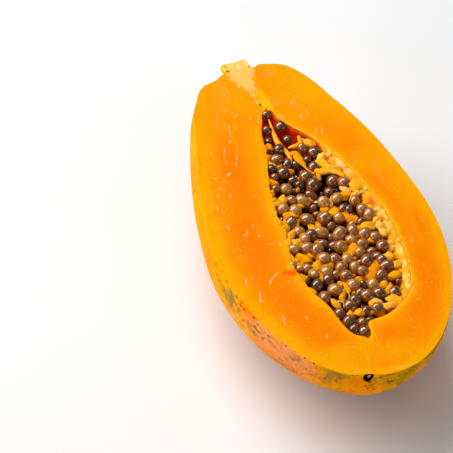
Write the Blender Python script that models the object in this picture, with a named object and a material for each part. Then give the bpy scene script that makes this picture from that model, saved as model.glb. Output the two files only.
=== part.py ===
"""Half of a ripe papaya, lying on its back with the cut face up and its seeds in the cavity.

Metres, +Z up. The pieces are modelled about the fruit's own axis: Y runs along it, from the widest
station toward the stem, and Z = 0 is the cut face. The empty that carries them then lays the fruit
down, so that the middle of its resting flat is the origin.
"""

import math
import random

import bmesh
import bpy
from mathutils import Matrix, Vector

# The fruit, measured along its axis from its widest station
STEM_SIDE = 0.1177
BLOSSOM_SIDE = 0.0873
HALF_WIDTH = 0.0554
DEPTH_SHARE = 0.962
STEM_TAPER, STEM_BLUNTNESS = 1.38, 2.79
BLOSSOM_TAPER, BLOSSOM_BLUNTNESS = 1.76, 2.2
WAIST_SOFTNESS = 0.14
AXIS_BOW = 0.0011
STEM_END_LEAN = 0.0066

# Five soft ribs run along the skin, deepest at the blossom end and worn low underneath
RIBS = 5
RIB_HEIGHT, RIB_HEIGHT_AT_BLOSSOM = 0.042, 0.064
FIRST_RIB_ANGLE = math.radians(12.6)
WORN_ANGLE, WORN_SPREAD, WORN_SHARE = math.radians(80), math.radians(45), 0.8

# The fruit lies on a small flat, whose middle is the origin
CUT_HEIGHT = 0.0522
REST_X, REST_Y = 0.0020, 0.0007

# The dimple and scar where the flower sat, just under the cut
SCAR_X, SCAR_BELOW_CUT = -0.009, 0.004
SCAR_RADIUS, SCAR_DEPTH = 0.0055, 0.0026

# The seed cavity, measured from the same widest station
CAVITY_STEM_SIDE, CAVITY_BLOSSOM_SIDE = 0.0872, 0.0650
CAVITY_HALF_WIDTH, CAVITY_DEPTH = 0.0289, 0.0275
CAVITY_STEM_TAPER, CAVITY_BLOSSOM_TAPER = 1.85, 2.8
CAVITY_STEM_TIP_X, CAVITY_BLOSSOM_TIP_X = 0.0035, -0.0035
CAVITY_BULGE_X = 0.0072
CAVITY_RIB = 0.05

# The heap of seeds: a bare core with the seeds that show fused to its top
CORE_GAP = 0.0006
CORE_EDGE_DEPTH, CORE_DOME = 0.0095, 0.0045
CORE_DEEPEST_SHARE = 0.72
HOLLOW_DEPTH = 0.0080
HOLLOW_STATION, HOLLOW_ACROSS = 0.45, 0.20
HOLLOW_LENGTH, HOLLOW_WIDTH = 0.17, 0.60

SEED_DRAW = 7
SEED_RADIUS, SEED_STRETCH, SEED_SIZE_SPREAD = 0.0026, 1.15, 0.08
SEED_PITCH, SEED_JITTER = 0.0056, 0.0005
SEED_RISE, SEED_RISE_SPREAD = 0.0014, 0.0007
SEED_CLEARANCE = 0.0004

# The stub of the fruit stalk, cut through with the fruit
STALK_X, STALK_BASE_RADIUS, STALK_TOP_RADIUS = -0.0017, 0.0079, 0.0072
STALK_RISE, STALK_ROOT, STALK_SLANT = 0.0052, 0.0040, 0.043
STALK_EDGE = 0.0012
STALK_GAP = 0.0003

SKIN_SEGMENTS, SKIN_RINGS = 52, 36
CAVITY_SEGMENTS, CAVITY_RINGS = 36, 30
CORE_SEGMENTS, CORE_RINGS = 24, 22
SEED_SEGMENTS, SEED_RINGS = 5, 4
STALK_SEGMENTS = 28


def clear_scene():
    for obj in list(bpy.data.objects):
        bpy.data.objects.remove(obj)


def material(name, colour, roughness):
    made = bpy.data.materials.new(name)
    made.use_nodes = True
    surface = made.node_tree.nodes["Principled BSDF"]
    surface.inputs["Base Color"].default_value = (*colour, 1.0)
    surface.inputs["Roughness"].default_value = roughness
    surface.inputs["Metallic"].default_value = 0.0
    return made


def mesh_object(name, bm, parent=None, finish=None):
    mesh = bpy.data.meshes.new(name)
    bm.to_mesh(mesh)
    bm.free()
    obj = bpy.data.objects.new(name, mesh)
    obj.parent = parent
    bpy.context.scene.collection.objects.link(obj)
    if finish:
        mesh.materials.append(finish)
        mesh.shade_smooth()
        mesh.set_sharp_from_angle(angle=math.radians(40))
    return obj


def cut_away(obj, name, cutter):
    """Takes the cutter's space out of the object."""
    cutter.hide_render = True
    cutter.display_type = "WIRE"
    cut = obj.modifiers.new(name, "BOOLEAN")
    cut.operation = "DIFFERENCE"
    cut.solver = "EXACT"
    cut.object = cutter


def face_outward(bm):
    bmesh.ops.recalc_face_normals(bm, faces=bm.faces)
    if bm.calc_volume(signed=True) < 0:
        bmesh.ops.reverse_faces(bm, faces=bm.faces)


def slice_flat(bm, height, outward):
    """Removes what lies past a level plane and closes the face that the knife leaves."""
    cut = bmesh.ops.bisect_plane(
        bm,
        geom=bm.verts[:] + bm.edges[:] + bm.faces[:],
        dist=1e-6,
        plane_co=(0, 0, height),
        plane_no=(0, 0, outward),
        clear_outer=True,
    )
    rim = [item for item in cut["geom_cut"] if isinstance(item, bmesh.types.BMEdge)]
    bmesh.ops.holes_fill(bm, edges=rim, sides=0)
    face_outward(bm)


def mapped_sphere(segments, rings, place):
    """A closed ball whose points go where place(station, angle) says: station -1 to 1 along Y."""
    bm = bmesh.new()
    bmesh.ops.create_uvsphere(bm, u_segments=segments, v_segments=rings, radius=1.0)
    for vert in bm.verts:
        station = max(-1.0, min(1.0, vert.co.z))
        angle = math.atan2(vert.co.y, vert.co.x)
        vert.co = place(station, angle)
    face_outward(bm)
    return bm


def skin_radius(station):
    """The fruit's plain half width at a station: 1 at the stem end, -1 at the blossom end."""
    stem = station > 0
    power = STEM_TAPER if stem else BLOSSOM_TAPER
    bluntness = STEM_BLUNTNESS if stem else BLOSSOM_BLUNTNESS
    soft = WAIST_SOFTNESS**power
    full = (1 + WAIST_SOFTNESS**2) ** (power / 2) - soft
    run = (station**2 + WAIST_SOFTNESS**2) ** (power / 2) - soft
    return HALF_WIDTH * max(0.0, 1 - run / full) ** (1 / bluntness)


def skin_point(station, angle, grow=0.0):
    """A point of the skin. Angle 0 is the +X rim of the cut, and a quarter turn is straight down."""
    toward_blossom = max(0.0, -station)
    from_worn = (math.remainder(angle - WORN_ANGLE, math.tau) / WORN_SPREAD) ** 2
    worn = 1 - WORN_SHARE * math.exp(-from_worn) * (1 - toward_blossom)
    rib_height = RIB_HEIGHT * worn
    rib_height += (RIB_HEIGHT_AT_BLOSSOM - RIB_HEIGHT) * toward_blossom**2
    ribs = 1 + rib_height * math.cos(RIBS * (angle - FIRST_RIB_ANGLE))
    radius = skin_radius(station) * ribs + grow
    x = AXIS_BOW * (1 - station**2) + radius * math.cos(angle)
    z = -DEPTH_SHARE * radius * math.sin(angle)
    if station > 0:
        y = station * (STEM_SIDE + grow)
        y += STEM_END_LEAN * (radius * math.cos(angle) / HALF_WIDTH) * station**2
    else:
        from_scar = math.hypot(x - SCAR_X, z + SCAR_BELOW_CUT) / SCAR_RADIUS
        y = station * (BLOSSOM_SIDE + grow) + SCAR_DEPTH * math.exp(-(from_scar**2))
    return Vector((x, y, z))


def cavity_section(station):
    """The cavity's middle, half width and depth at a station."""
    if station > 0:
        share = 1 - station**CAVITY_STEM_TAPER
        tip, bulge = CAVITY_STEM_TIP_X, 1 - station**2
    else:
        share = 1 - abs(station) ** CAVITY_BLOSSOM_TAPER
        tip, bulge = CAVITY_BLOSSOM_TIP_X, 1 - station**6
    middle = tip * abs(station) + CAVITY_BULGE_X * bulge
    return middle, CAVITY_HALF_WIDTH * share, CAVITY_DEPTH * share


def cavity_y(station):
    return station * (CAVITY_STEM_SIDE if station > 0 else CAVITY_BLOSSOM_SIDE)


def cavity_station(y):
    return y / (CAVITY_STEM_SIDE if y > 0 else CAVITY_BLOSSOM_SIDE)


def wall_factor(angle):
    """The cavity's five soft ridges, as a factor on its plain section."""
    return 1 + CAVITY_RIB * math.cos(RIBS * angle)


def cavity_point(station, angle):
    middle, half_width, depth = cavity_section(station)
    reach = wall_factor(angle)
    x = middle + half_width * reach * math.cos(angle)
    return Vector((x, cavity_y(station), -depth * reach * math.sin(angle)))


def core_depth(station, across):
    """How far the core's top lies under the cut. Across runs from -1 to 1, wall to wall."""
    along = (station - HOLLOW_STATION) / HOLLOW_LENGTH
    aside = (across - HOLLOW_ACROSS) / HOLLOW_WIDTH
    hollow = HOLLOW_DEPTH * math.exp(-(along**2) - aside**2)
    wanted = CORE_EDGE_DEPTH - CORE_DOME * (1 - across**2) + hollow
    return min(wanted, CORE_DEEPEST_SHARE * cavity_section(station)[2])


def core_point(station, angle):
    """A point of the bare core: the wall drawn in by the gap below, and the heap's top above."""
    station *= 1 - 4 * CORE_GAP / CAVITY_BLOSSOM_SIDE
    middle, half_width, depth = cavity_section(station)
    start = math.asin(core_depth(station, 1.0) / depth)
    angle %= math.tau
    lower = angle <= math.pi
    if lower:
        wall_angle = start + (math.pi - 2 * start) * angle / math.pi
    else:
        wall_angle = start if math.cos(angle) > 0 else math.pi - start
    reach = wall_factor(wall_angle)
    x_reach = max(0.0, half_width * reach - CORE_GAP) * math.cos(wall_angle)
    z_reach = max(0.0, depth * reach - CORE_GAP) * math.sin(wall_angle)
    if lower:
        return Vector((middle + x_reach, cavity_y(station), -z_reach))
    across = math.cos(angle)
    sunk = z_reach + core_depth(station, across) - core_depth(station, 1.0)
    return Vector((middle + abs(x_reach) * across, cavity_y(station), -max(0.0, sunk)))


def inside_cavity(point):
    station = cavity_station(point.y)
    if abs(station) >= 0.97:
        return False
    middle, half_width, depth = cavity_section(station)
    across, down = (point.x - middle) / half_width, max(0.0, -point.z) / depth
    return math.hypot(across, down) < wall_factor(math.atan2(down, across))


def clear_of_wall(centre, reach):
    turns = [math.tau * i / 8 for i in range(8)]
    level = [Vector((math.cos(turn), math.sin(turn), 0)) for turn in turns]
    upright = [Vector((math.cos(turn), 0, math.sin(turn))) for turn in turns]
    return all(inside_cavity(centre + reach * way) for way in level + upright)


def seed_places():
    """Where the seeds that show sit, in staggered rows with some play: (centre, size, long axis)."""
    draw = random.Random(SEED_DRAW)
    row_pitch = SEED_PITCH * math.sqrt(3) / 2
    rows_back = int(CAVITY_BLOSSOM_SIDE / row_pitch)
    rows_ahead = int(CAVITY_STEM_SIDE / row_pitch)
    columns = int(CAVITY_HALF_WIDTH / SEED_PITCH) + 3
    places = []
    for row in range(-rows_back, rows_ahead + 1):
        for column in range(-columns, columns + 1):
            size = 1 + draw.uniform(-SEED_SIZE_SPREAD, SEED_SIZE_SPREAD)
            rise = SEED_RISE + draw.uniform(-SEED_RISE_SPREAD, SEED_RISE_SPREAD)
            axis = Vector([draw.gauss(0, 1) for _ in range(3)]).normalized()
            x = (column + row % 2 / 2) * SEED_PITCH + draw.uniform(-SEED_JITTER, SEED_JITTER)
            y = row * row_pitch + draw.uniform(-SEED_JITTER, SEED_JITTER)
            station = cavity_station(y)
            middle, half_width, _ = cavity_section(station)
            if abs(station) > 0.97 or abs(x) > half_width:
                continue
            centre = Vector((middle + x, y, rise - core_depth(station, x / half_width)))
            if clear_of_wall(centre, SEED_RADIUS * SEED_STRETCH * size + SEED_CLEARANCE):
                places.append((centre, size, axis))
    return places


def seed_object(number, centre, size, axis):
    bm = bmesh.new()
    bmesh.ops.create_uvsphere(
        bm, u_segments=SEED_SEGMENTS, v_segments=SEED_RINGS, radius=SEED_RADIUS * size
    )
    stretch = Matrix.Diagonal((1.0, 1.0, SEED_STRETCH, 1.0))
    turn = axis.to_track_quat("Z", "Y").to_matrix().to_4x4()
    bm.transform(Matrix.Translation(centre) @ turn @ stretch)
    return mesh_object(f"seed_{number:03d}", bm)


def apply_modifiers(obj):
    bpy.context.view_layer.update()
    graph = bpy.context.evaluated_depsgraph_get()
    finished = bpy.data.meshes.new_from_object(obj.evaluated_get(graph))
    obj.modifiers.clear()
    obj.data = finished


def keep_largest_body(obj):
    """Drops loose scraps and the walls of sealed hollows that a union leaves."""
    bm = bmesh.new()
    bm.from_mesh(obj.data)
    left = set(bm.verts)
    bodies = []
    while left:
        body, edge = set(), [left.pop()]
        while edge:
            vert = edge.pop()
            body.add(vert)
            near = {link.other_vert(vert) for link in vert.link_edges} & left
            left -= near
            edge.extend(near)
        bodies.append(body)
    bodies.sort(key=len)
    scraps = [vert for body in bodies[:-1] for vert in body]
    bmesh.ops.delete(bm, geom=scraps, context="VERTS")
    bm.to_mesh(obj.data)
    bm.free()


def flesh_half(parent, finish):
    """The flesh with its peel: sliced at the cut and at the resting flat, its cavity scooped."""
    bm = mapped_sphere(SKIN_SEGMENTS, SKIN_RINGS, skin_point)
    slice_flat(bm, 0.0, 1)
    slice_flat(bm, -CUT_HEIGHT, -1)
    flesh = mesh_object("flesh_half", bm, parent, finish)
    scoop = mapped_sphere(CAVITY_SEGMENTS, CAVITY_RINGS, cavity_point)
    cut_away(flesh, "seed_cavity", mesh_object("cavity_cutter", scoop, parent))


def seed_heap(parent, finish):
    """The heap of seeds: a core that fills the cavity, with the seeds that show joined to it."""
    bm = mapped_sphere(CORE_SEGMENTS, CORE_RINGS, core_point)
    heap = mesh_object("seed_heap", bm, None, finish)
    loose = bpy.data.collections.new("loose_seeds")
    bpy.context.scene.collection.children.link(loose)
    for number, place in enumerate(seed_places()):
        seed = seed_object(number, *place)
        bpy.context.scene.collection.objects.unlink(seed)
        loose.objects.link(seed)
    join = heap.modifiers.new("join_seeds", "BOOLEAN")
    join.operation = "UNION"
    join.solver = "EXACT"
    join.operand_type = "COLLECTION"
    join.collection = loose
    apply_modifiers(heap)
    for seed in list(loose.objects):
        bpy.data.objects.remove(seed)
    bpy.data.collections.remove(loose)
    keep_largest_body(heap)
    heap.parent = parent


def stalk_stub(parent, finish):
    """The stub of the stalk, halved by the same cut and seated on the fruit's stem end."""
    length = STALK_ROOT + STALK_RISE
    middle_y = STEM_SIDE - STALK_ROOT + length / 2
    bm = bmesh.new()
    bmesh.ops.create_cone(
        bm,
        cap_ends=True,
        segments=STALK_SEGMENTS,
        radius1=STALK_BASE_RADIUS,
        radius2=STALK_TOP_RADIUS,
        depth=length,
    )
    lay_down = Matrix.Rotation(math.radians(-90), 4, "X")
    bm.transform(Matrix.Translation((STALK_X, middle_y, 0)) @ lay_down)
    for vert in bm.verts:
        if vert.co.y > middle_y:
            vert.co.y += STALK_SLANT * (vert.co.x - STALK_X)
    bm.normal_update()
    top = [edge for edge in bm.edges if min(vert.co.y for vert in edge.verts) > middle_y]
    bmesh.ops.bevel(
        bm, geom=top, offset=STALK_EDGE, segments=2, profile=0.5, affect="EDGES", material=-1
    )
    slice_flat(bm, 0.0, 1)
    stub = mesh_object("stem_stub", bm, parent, finish)
    grown_skin = mapped_sphere(
        SKIN_SEGMENTS, SKIN_RINGS, lambda station, angle: skin_point(station, angle, STALK_GAP)
    )
    cut_away(stub, "seat_on_fruit", mesh_object("seat_cutter", grown_skin, parent))


def main():
    clear_scene()
    axis = bpy.data.objects.new("fruit_axis", None)
    axis.location = (-REST_X, -REST_Y, CUT_HEIGHT)
    bpy.context.scene.collection.objects.link(axis)
    flesh_half(axis, material("papaya_flesh", (1.0, 0.30, 0.01), 0.35))
    seed_heap(axis, material("papaya_seeds", (0.10, 0.055, 0.03), 0.25))
    stalk_stub(axis, material("papaya_stalk", (0.95, 0.72, 0.25), 0.6))


main()
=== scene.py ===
import math
import random

import bmesh
import bpy
from mathutils import Matrix, Vector, noise
from mathutils.bvhtree import BVHTree


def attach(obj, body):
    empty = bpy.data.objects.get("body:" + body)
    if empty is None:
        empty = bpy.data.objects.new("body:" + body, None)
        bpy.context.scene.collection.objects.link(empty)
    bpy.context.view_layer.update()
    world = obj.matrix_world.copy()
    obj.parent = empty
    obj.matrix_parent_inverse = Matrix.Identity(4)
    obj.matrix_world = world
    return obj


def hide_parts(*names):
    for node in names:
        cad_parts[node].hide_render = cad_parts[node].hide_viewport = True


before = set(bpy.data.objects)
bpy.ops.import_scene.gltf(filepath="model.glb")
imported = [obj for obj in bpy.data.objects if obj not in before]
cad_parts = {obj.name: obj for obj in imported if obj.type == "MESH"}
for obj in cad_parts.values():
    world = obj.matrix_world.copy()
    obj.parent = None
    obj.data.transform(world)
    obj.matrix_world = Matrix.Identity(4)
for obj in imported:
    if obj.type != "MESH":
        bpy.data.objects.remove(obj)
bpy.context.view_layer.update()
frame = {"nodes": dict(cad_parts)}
print("solids loaded:", ", ".join(frame["nodes"]))

# Where the fruit's own axis lies. Pieces are modelled about it, with the cut face at Z = 0.
layDown = Vector((-0.0020, -0.0007, 0.0522))
turn = 2 * math.pi


def smoothStep(low, high, value):
    share = max(0.0, min(1.0, (value - low) / (high - low)))
    return share * share * (3 - 2 * share)


def alongCurve(points, where):
    # Height of a smooth curve through (position, height) points, flat at both ends
    if where <= points[0][0]:
        return points[0][1]
    for (lowX, lowY), (highX, highY) in zip(points, points[1:]):
        if where <= highX:
            share = (where - lowX) / (highX - lowX)
            index = points.index((highX, highY))
            before = points[max(0, index - 2)]
            after = points[min(len(points) - 1, index + 1)]
            slopeIn = (highY - before[1]) / (highX - before[0])
            slopeOut = (after[1] - lowY) / (after[0] - lowX)
            if (lowY - before[1]) * (highY - lowY) <= 0:
                slopeIn = 0.0
            if (highY - lowY) * (after[1] - highY) <= 0:
                slopeOut = 0.0
            run = highX - lowX
            a, b = lowY + slopeIn * run / 3, highY - slopeOut * run / 3
            rest = 1 - share
            return rest**3 * lowY + 3 * rest**2 * share * a + 3 * rest * share**2 * b + share**3 * highY
    return points[-1][1]


def closeUp(bm, reach):
    # Joins what lies closer than the reach, and turns every face outward
    bmesh.ops.remove_doubles(bm, verts=bm.verts, dist=reach)
    faceOutward(bm)


def faceOutward(bm):
    bmesh.ops.recalc_face_normals(bm, faces=bm.faces)
    if bm.calc_volume(signed=True) < 0:
        bmesh.ops.reverse_faces(bm, faces=bm.faces)


def addPiece(name, bm, materials, replaced):
    # Lays the mesh down on the table, names it and ties it to the fruit
    bmesh.ops.translate(bm, verts=bm.verts, vec=layDown)
    mesh = bpy.data.meshes.new(name)
    bm.to_mesh(mesh)
    bm.free()
    mesh.shade_smooth()
    piece = bpy.data.objects.new(name, mesh)
    bpy.context.scene.collection.objects.link(piece)
    for material in materials:
        mesh.materials.append(material)
    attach(piece, "root")
    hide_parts(replaced)
    mesh.calc_loop_triangles()
    print(name, len(mesh.loop_triangles), "triangles")


def feed(tree, socket, value):
    # A number or a colour is set on the socket, and another node's output is linked to it
    if isinstance(value, bpy.types.NodeSocket):
        tree.links.new(value, socket)
    else:
        socket.default_value = value


def addNode(tree, kind, inputs=None, **settings):
    node = tree.nodes.new("ShaderNode" + kind)
    for setting, value in settings.items():
        setattr(node, setting, value)
    for name, value in (inputs or {}).items():
        feed(tree, node.inputs[name], value)
    return node


def srgb(red, green, blue):
    def linear(value):
        value /= 255
        return value / 12.92 if value <= 0.04045 else ((value + 0.055) / 1.055) ** 2.4

    return (linear(red), linear(green), linear(blue), 1.0)


def newMaterial(name):
    material = bpy.data.materials.new(name)
    material.use_nodes = True
    tree = material.node_tree
    place = addNode(tree, "TexCoord").outputs["Object"]
    return material, tree, tree.nodes["Principled BSDF"], place


def stretched(tree, place, stretch, shift):
    return addNode(tree, "Mapping", {"Vector": place, "Scale": stretch, "Location": shift}).outputs["Vector"]


def noiseValue(tree, place, scale, detail=2.0, roughness=0.5, distortion=0.0, stretch=None, shift=(0, 0, 0)):
    if stretch or any(shift):
        place = stretched(tree, place, stretch or (1, 1, 1), shift)
    inputs = {"Vector": place, "Scale": scale, "Detail": detail, "Roughness": roughness}
    return addNode(tree, "TexNoise", {**inputs, "Distortion": distortion}).outputs["Fac"]


def ramp(tree, value, stops):
    # Stops are positions from 0 to 1, each with a colour or a grey value
    node = addNode(tree, "ValToRGB", {"Fac": value})
    elements = node.color_ramp.elements
    while len(elements) < len(stops):
        elements.new(0.5)
    for element, (position, colour) in zip(elements, stops):
        element.position = position
        element.color = colour if isinstance(colour, tuple) else (colour, colour, colour, 1.0)
    return node.outputs["Color"]


def mixed(tree, factor, first, second):
    return addNode(tree, "Mix", {0: factor, 6: first, 7: second}, data_type="RGBA").outputs[2]


def maths(tree, operation, first, second, third=0.0):
    return addNode(tree, "Math", {0: first, 1: second, 2: third}, operation=operation).outputs[0]


def times(tree, first, second):
    return maths(tree, "MULTIPLY", first, second)


def swayed(tree, value, noiseHeight, reach):
    # The value moved up and down by a noise, about the noise's middle
    return maths(tree, "MULTIPLY_ADD", maths(tree, "SUBTRACT", noiseHeight, 0.5), reach, value)


def tinted(tree, colour, tint, mask, share):
    return mixed(tree, times(tree, mask, share), colour, tint)


def vectorMaths(tree, operation, first, second):
    return addNode(tree, "VectorMath", {0: first, 1: second}, operation=operation).outputs[0]


def between(tree, value, low, high, toLow=0.0, toHigh=1.0):
    inputs = {"Value": value, "From Min": low, "From Max": high, "To Min": toLow, "To Max": toHigh}
    return addNode(tree, "MapRange", inputs, interpolation_type="SMOOTHSTEP").outputs["Result"]


def nearPoint(tree, place, point, inner, outer, stretch=(1, 1, 1)):
    # 1 inside the inner radius around a point, falling to 0 at the outer one
    scaled = vectorMaths(tree, "MULTIPLY", vectorMaths(tree, "SUBTRACT", place, tuple(point)), stretch)
    reach = addNode(tree, "VectorMath", {0: scaled}, operation="LENGTH").outputs["Value"]
    return between(tree, reach, inner, outer, 1.0, 0.0)


def attributeValue(tree, name):
    return addNode(tree, "Attribute", attribute_name=name).outputs["Fac"]


def coordinate(tree, place, name):
    return addNode(tree, "SeparateXYZ", {0: place}).outputs[name]


def wobbledPlace(tree, place, scale, detail, reach):
    # The place pushed about by a noise, by up to half the reach to each side
    pushed = addNode(tree, "TexNoise", {"Vector": place, "Scale": scale, "Detail": detail}).outputs["Color"]
    pushed = vectorMaths(tree, "MULTIPLY", vectorMaths(tree, "SUBTRACT", pushed, (0.5, 0.5, 0.5)), reach)
    return vectorMaths(tree, "ADD", place, pushed)


def spotsIn(tree, place, scale, stretch, shift, size, core, share, soft):
    # A round spot in each cell of a noise, but for the share left out: core is the full part of its size
    place = stretched(tree, place, stretch, (shift, 0, 0))
    cells = addNode(tree, "TexVoronoi", {"Vector": place, "Scale": scale})
    spot = ramp(tree, cells.outputs["Distance"], [(size * core, 1.0), (size, 0.0)])
    chosen = addNode(tree, "SeparateColor", {0: cells.outputs["Color"]}).outputs[0]
    return times(tree, spot, ramp(tree, chosen, [(share, 0.0), (share + soft, 1.0)]))


def paint(tree, surface, colour, roughness, specular):
    # Each is a plain value or another node's output
    for name, value in (("Base Color", colour), ("Roughness", roughness), ("Specular IOR Level", specular)):
        feed(tree, surface.inputs[name], value)


def bumped(tree, surface, height, distance, strength):
    node = addNode(tree, "Bump", {"Height": height, "Distance": distance, "Strength": strength})
    tree.links.new(node.outputs["Normal"], surface.inputs["Normal"])


# The camera stands where the photograph was taken from: near eye height over a table, with a long lens
view = {
    "azimuth": 245.07, "elevation": 46.87, "roll": -25.34,
    "distance": 1.6206, "aside": 0.0403, "above": 0.0053,
    "aim": (-0.0020, 0.0145, 0.0522),
    "lens": 270.5, "sensor": 36.0, "pixels": 453,
}


def addCamera():
    azimuth, elevation, roll = (math.radians(view[name]) for name in ("azimuth", "elevation", "roll"))
    flat = math.cos(elevation)
    back = Vector((flat * math.cos(azimuth), flat * math.sin(azimuth), math.sin(elevation)))
    sideways = Vector((0, 1, 0)).cross(back).normalized()
    upright = back.cross(sideways)
    right = math.cos(roll) * sideways + math.sin(roll) * upright
    up = math.cos(roll) * upright - math.sin(roll) * sideways
    camera = bpy.data.objects.new("photoCamera", bpy.data.cameras.new("photoCamera"))
    camera.data.lens = view["lens"]
    camera.data.sensor_width = view["sensor"]
    camera.data.clip_end = 20
    bpy.context.scene.collection.objects.link(camera)
    turned = Matrix((right, up, back)).transposed().to_4x4()
    where = Vector(view["aim"]) + view["distance"] * back - view["aside"] * right - view["above"] * up
    camera.matrix_world = Matrix.Translation(where) @ turned
    bpy.context.scene.camera = camera
    return right, up, back, where


imageRight, imageUp, towardCamera, cameraPlace = addCamera()
focalPixels = view["lens"] / view["sensor"] * view["pixels"]
print("camera set")


def photoSpot(column, row, height):
    # Where the camera's line through a pixel of the photograph meets a height, 0 being the cut face
    middle = view["pixels"] / 2
    across, up = (column - middle) / focalPixels, (middle - row) / focalPixels
    line = across * imageRight + up * imageUp - towardCamera
    start = cameraPlace - layDown
    return start + line * ((height - start.z) / line.z)


fruit = {
    "stemSide": 0.1177, "blossomSide": 0.0873,
    "halfWidth": 0.0554, "depthShare": 0.962,
    "stemTaper": 1.38, "stemBluntness": 2.79,
    "blossomTaper": 1.76, "blossomBluntness": 2.2,
    "waistSoftness": 0.14, "axisBow": 0.0011, "stemEndLean": 0.0066,
    "ribs": 5, "ribHeight": 0.042, "ribHeightAtBlossom": 0.010, "firstRib": math.radians(12.6),
    # How far the cut's rim lies off the round body, as (Y, shift in X), fading out below it
    "leftRim": [(-0.030, 0.0), (-0.010, 0.0004), (0.006, 0.0007), (0.025, 0.0020), (0.045, 0.0025),
                (0.064, 0.0036), (0.0735, 0.0036), (0.0855, 0.0026), (0.093, 0.0013), (0.0988, 0.0008),
                (0.1041, 0.0), (0.1082, -0.0011), (0.1108, -0.0011), (0.1115, 0.0006), (0.1132, 0.0028),
                (0.1150, 0.0019), (0.1175, 0.0)],
    "rightRim": [(0.010, 0.0), (0.0447, -0.0006), (0.0567, -0.0007), (0.069, -0.0012), (0.0753, -0.0016),
                 (0.0816, -0.0018), (0.0881, -0.0021), (0.0945, -0.0016), (0.1010, -0.0009), (0.1078, 0.0),
                 (0.1124, 0.0010), (0.1139, 0.0014), (0.1157, 0.0016), (0.1180, 0.0)],
    "rimFade": 0.35, "notchX": 0.0080, "notchWidth": 0.0016, "notchDepth": 0.0015,
    "wornAngle": math.radians(80), "wornSpread": math.radians(45), "wornShare": 0.8,
    "scarX": -0.009, "scarZ": -0.004, "scarRadius": 0.0055, "scarDepth": 0.0026,
    "stations": 200, "turns": 96, "rings": 46, "bowlTurns": 60,
    "faceRelief": 0.00011, "faceWaviness": 0.00022, "faceEdge": 0.002,
}
mergeReach = 2e-6  # points closer than this are joined into one

# The cavity's edges in the cut face, as (Y, X) from the blossom end's tip to the stem end's
cavity = {
    "left": [(-0.0648, -0.0016), (-0.0603, -0.0073), (-0.0545, -0.0099), (-0.0471, -0.0114),
             (-0.0415, -0.0124), (-0.0348, -0.0151), (-0.0300, -0.0172), (-0.0225, -0.0186),
             (-0.0170, -0.0196), (-0.0115, -0.0201), (-0.0072, -0.0190), (-0.0016, -0.0181),
             (0.0061, -0.0173), (0.0132, -0.0164), (0.0192, -0.0160), (0.0243, -0.0152), (0.0302, -0.0145),
             (0.0357, -0.0136), (0.0427, -0.0118), (0.0509, -0.0093), (0.0597, -0.0067), (0.0654, -0.0056),
             (0.0738, -0.0039), (0.0806, -0.0011), (0.0851, 0.0006), (0.0884, 0.0036)],
    "right": [(-0.0648, -0.0016), (-0.0618, 0.0010), (-0.0545, 0.0030), (-0.0531, 0.0122), (-0.0470, 0.0222),
              (-0.0430, 0.0272), (-0.0345, 0.0318), (-0.0200, 0.0350), (-0.0030, 0.0362), (0.0119, 0.0355),
              (0.0238, 0.0333), (0.0348, 0.0306), (0.0448, 0.0276), (0.0578, 0.0218), (0.0657, 0.0178),
              (0.0743, 0.0112), (0.0815, 0.0070), (0.0858, 0.0060), (0.0884, 0.0036)],
    "depth": 0.0270, "wallSteepness": 0.62,
    "tornFrom": (-0.050, -0.044), "tornTo": (0.046, 0.060),  # between these the right wall is torn
    "ragged": 0.0012, "lipWidth": 0.0018, "lipDrop": 0.0002, "ledge": 0.0042, "lumps": 0.0016,
}


def skinRadius(station):
    stem = station > 0
    power = fruit["stemTaper"] if stem else fruit["blossomTaper"]
    bluntness = fruit["stemBluntness"] if stem else fruit["blossomBluntness"]
    soft = fruit["waistSoftness"] ** power
    full = (1 + fruit["waistSoftness"] ** 2) ** (power / 2) - soft
    run = (station**2 + fruit["waistSoftness"] ** 2) ** (power / 2) - soft
    return fruit["halfWidth"] * max(0.0, 1 - run / full) ** (1 / bluntness)


def skinPoint(station, angle):
    # Angle 0 is the +X rim of the cut, and a quarter turn is straight down
    towardBlossom = max(0.0, -station)
    fromWorn = (math.remainder(angle - fruit["wornAngle"], turn) / fruit["wornSpread"]) ** 2
    worn = 1 - fruit["wornShare"] * math.exp(-fromWorn) * (1 - towardBlossom)
    ribHeight = fruit["ribHeight"] * worn
    ribHeight += (fruit["ribHeightAtBlossom"] - fruit["ribHeight"]) * towardBlossom**2
    radius = skinRadius(station) * (1 + ribHeight * math.cos(fruit["ribs"] * (angle - fruit["firstRib"])))
    x = fruit["axisBow"] * (1 - station**2) + radius * math.cos(angle)
    z = -fruit["depthShare"] * radius * math.sin(angle)
    if station > 0:
        y = station * fruit["stemSide"]
        y += fruit["stemEndLean"] * (radius * math.cos(angle) / fruit["halfWidth"]) * station**2
    else:
        fromScar = math.hypot(x - fruit["scarX"], z - fruit["scarZ"]) / fruit["scarRadius"]
        y = station * fruit["blossomSide"] + fruit["scarDepth"] * math.exp(-(fromScar**2))
    onLeft = math.cos(angle) < 0
    fade = math.exp(-(((math.pi - angle if onLeft else angle) / fruit["rimFade"]) ** 2))
    fromNotch = (x - fruit["notchX"]) / fruit["notchWidth"]
    x += alongCurve(fruit["leftRim" if onLeft else "rightRim"], y) * fade
    y -= fruit["notchDepth"] * fade * math.exp(-(fromNotch**2)) * smoothStep(0.8, 0.95, station)
    return Vector((x, y, max(z, -layDown.z)))


def cavityEdges(y):
    return alongCurve(cavity["left"], y), alongCurve(cavity["right"], y)


def cavityDepth(y):
    low, high = cavity["left"][0][0], cavity["left"][-1][0]
    share = (y - low) / (high - low)
    fromEnds = 4 * share * (1 - share)
    return cavity["depth"] * max(0.0, fromEnds) ** 0.62 * (1 - 0.40 * smoothStep(0.030, 0.070, y))


def cavityY(station):
    low, high = cavity["left"][0][0], cavity["left"][-1][0]
    return low + (station + 1) / 2 * (high - low)


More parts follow.
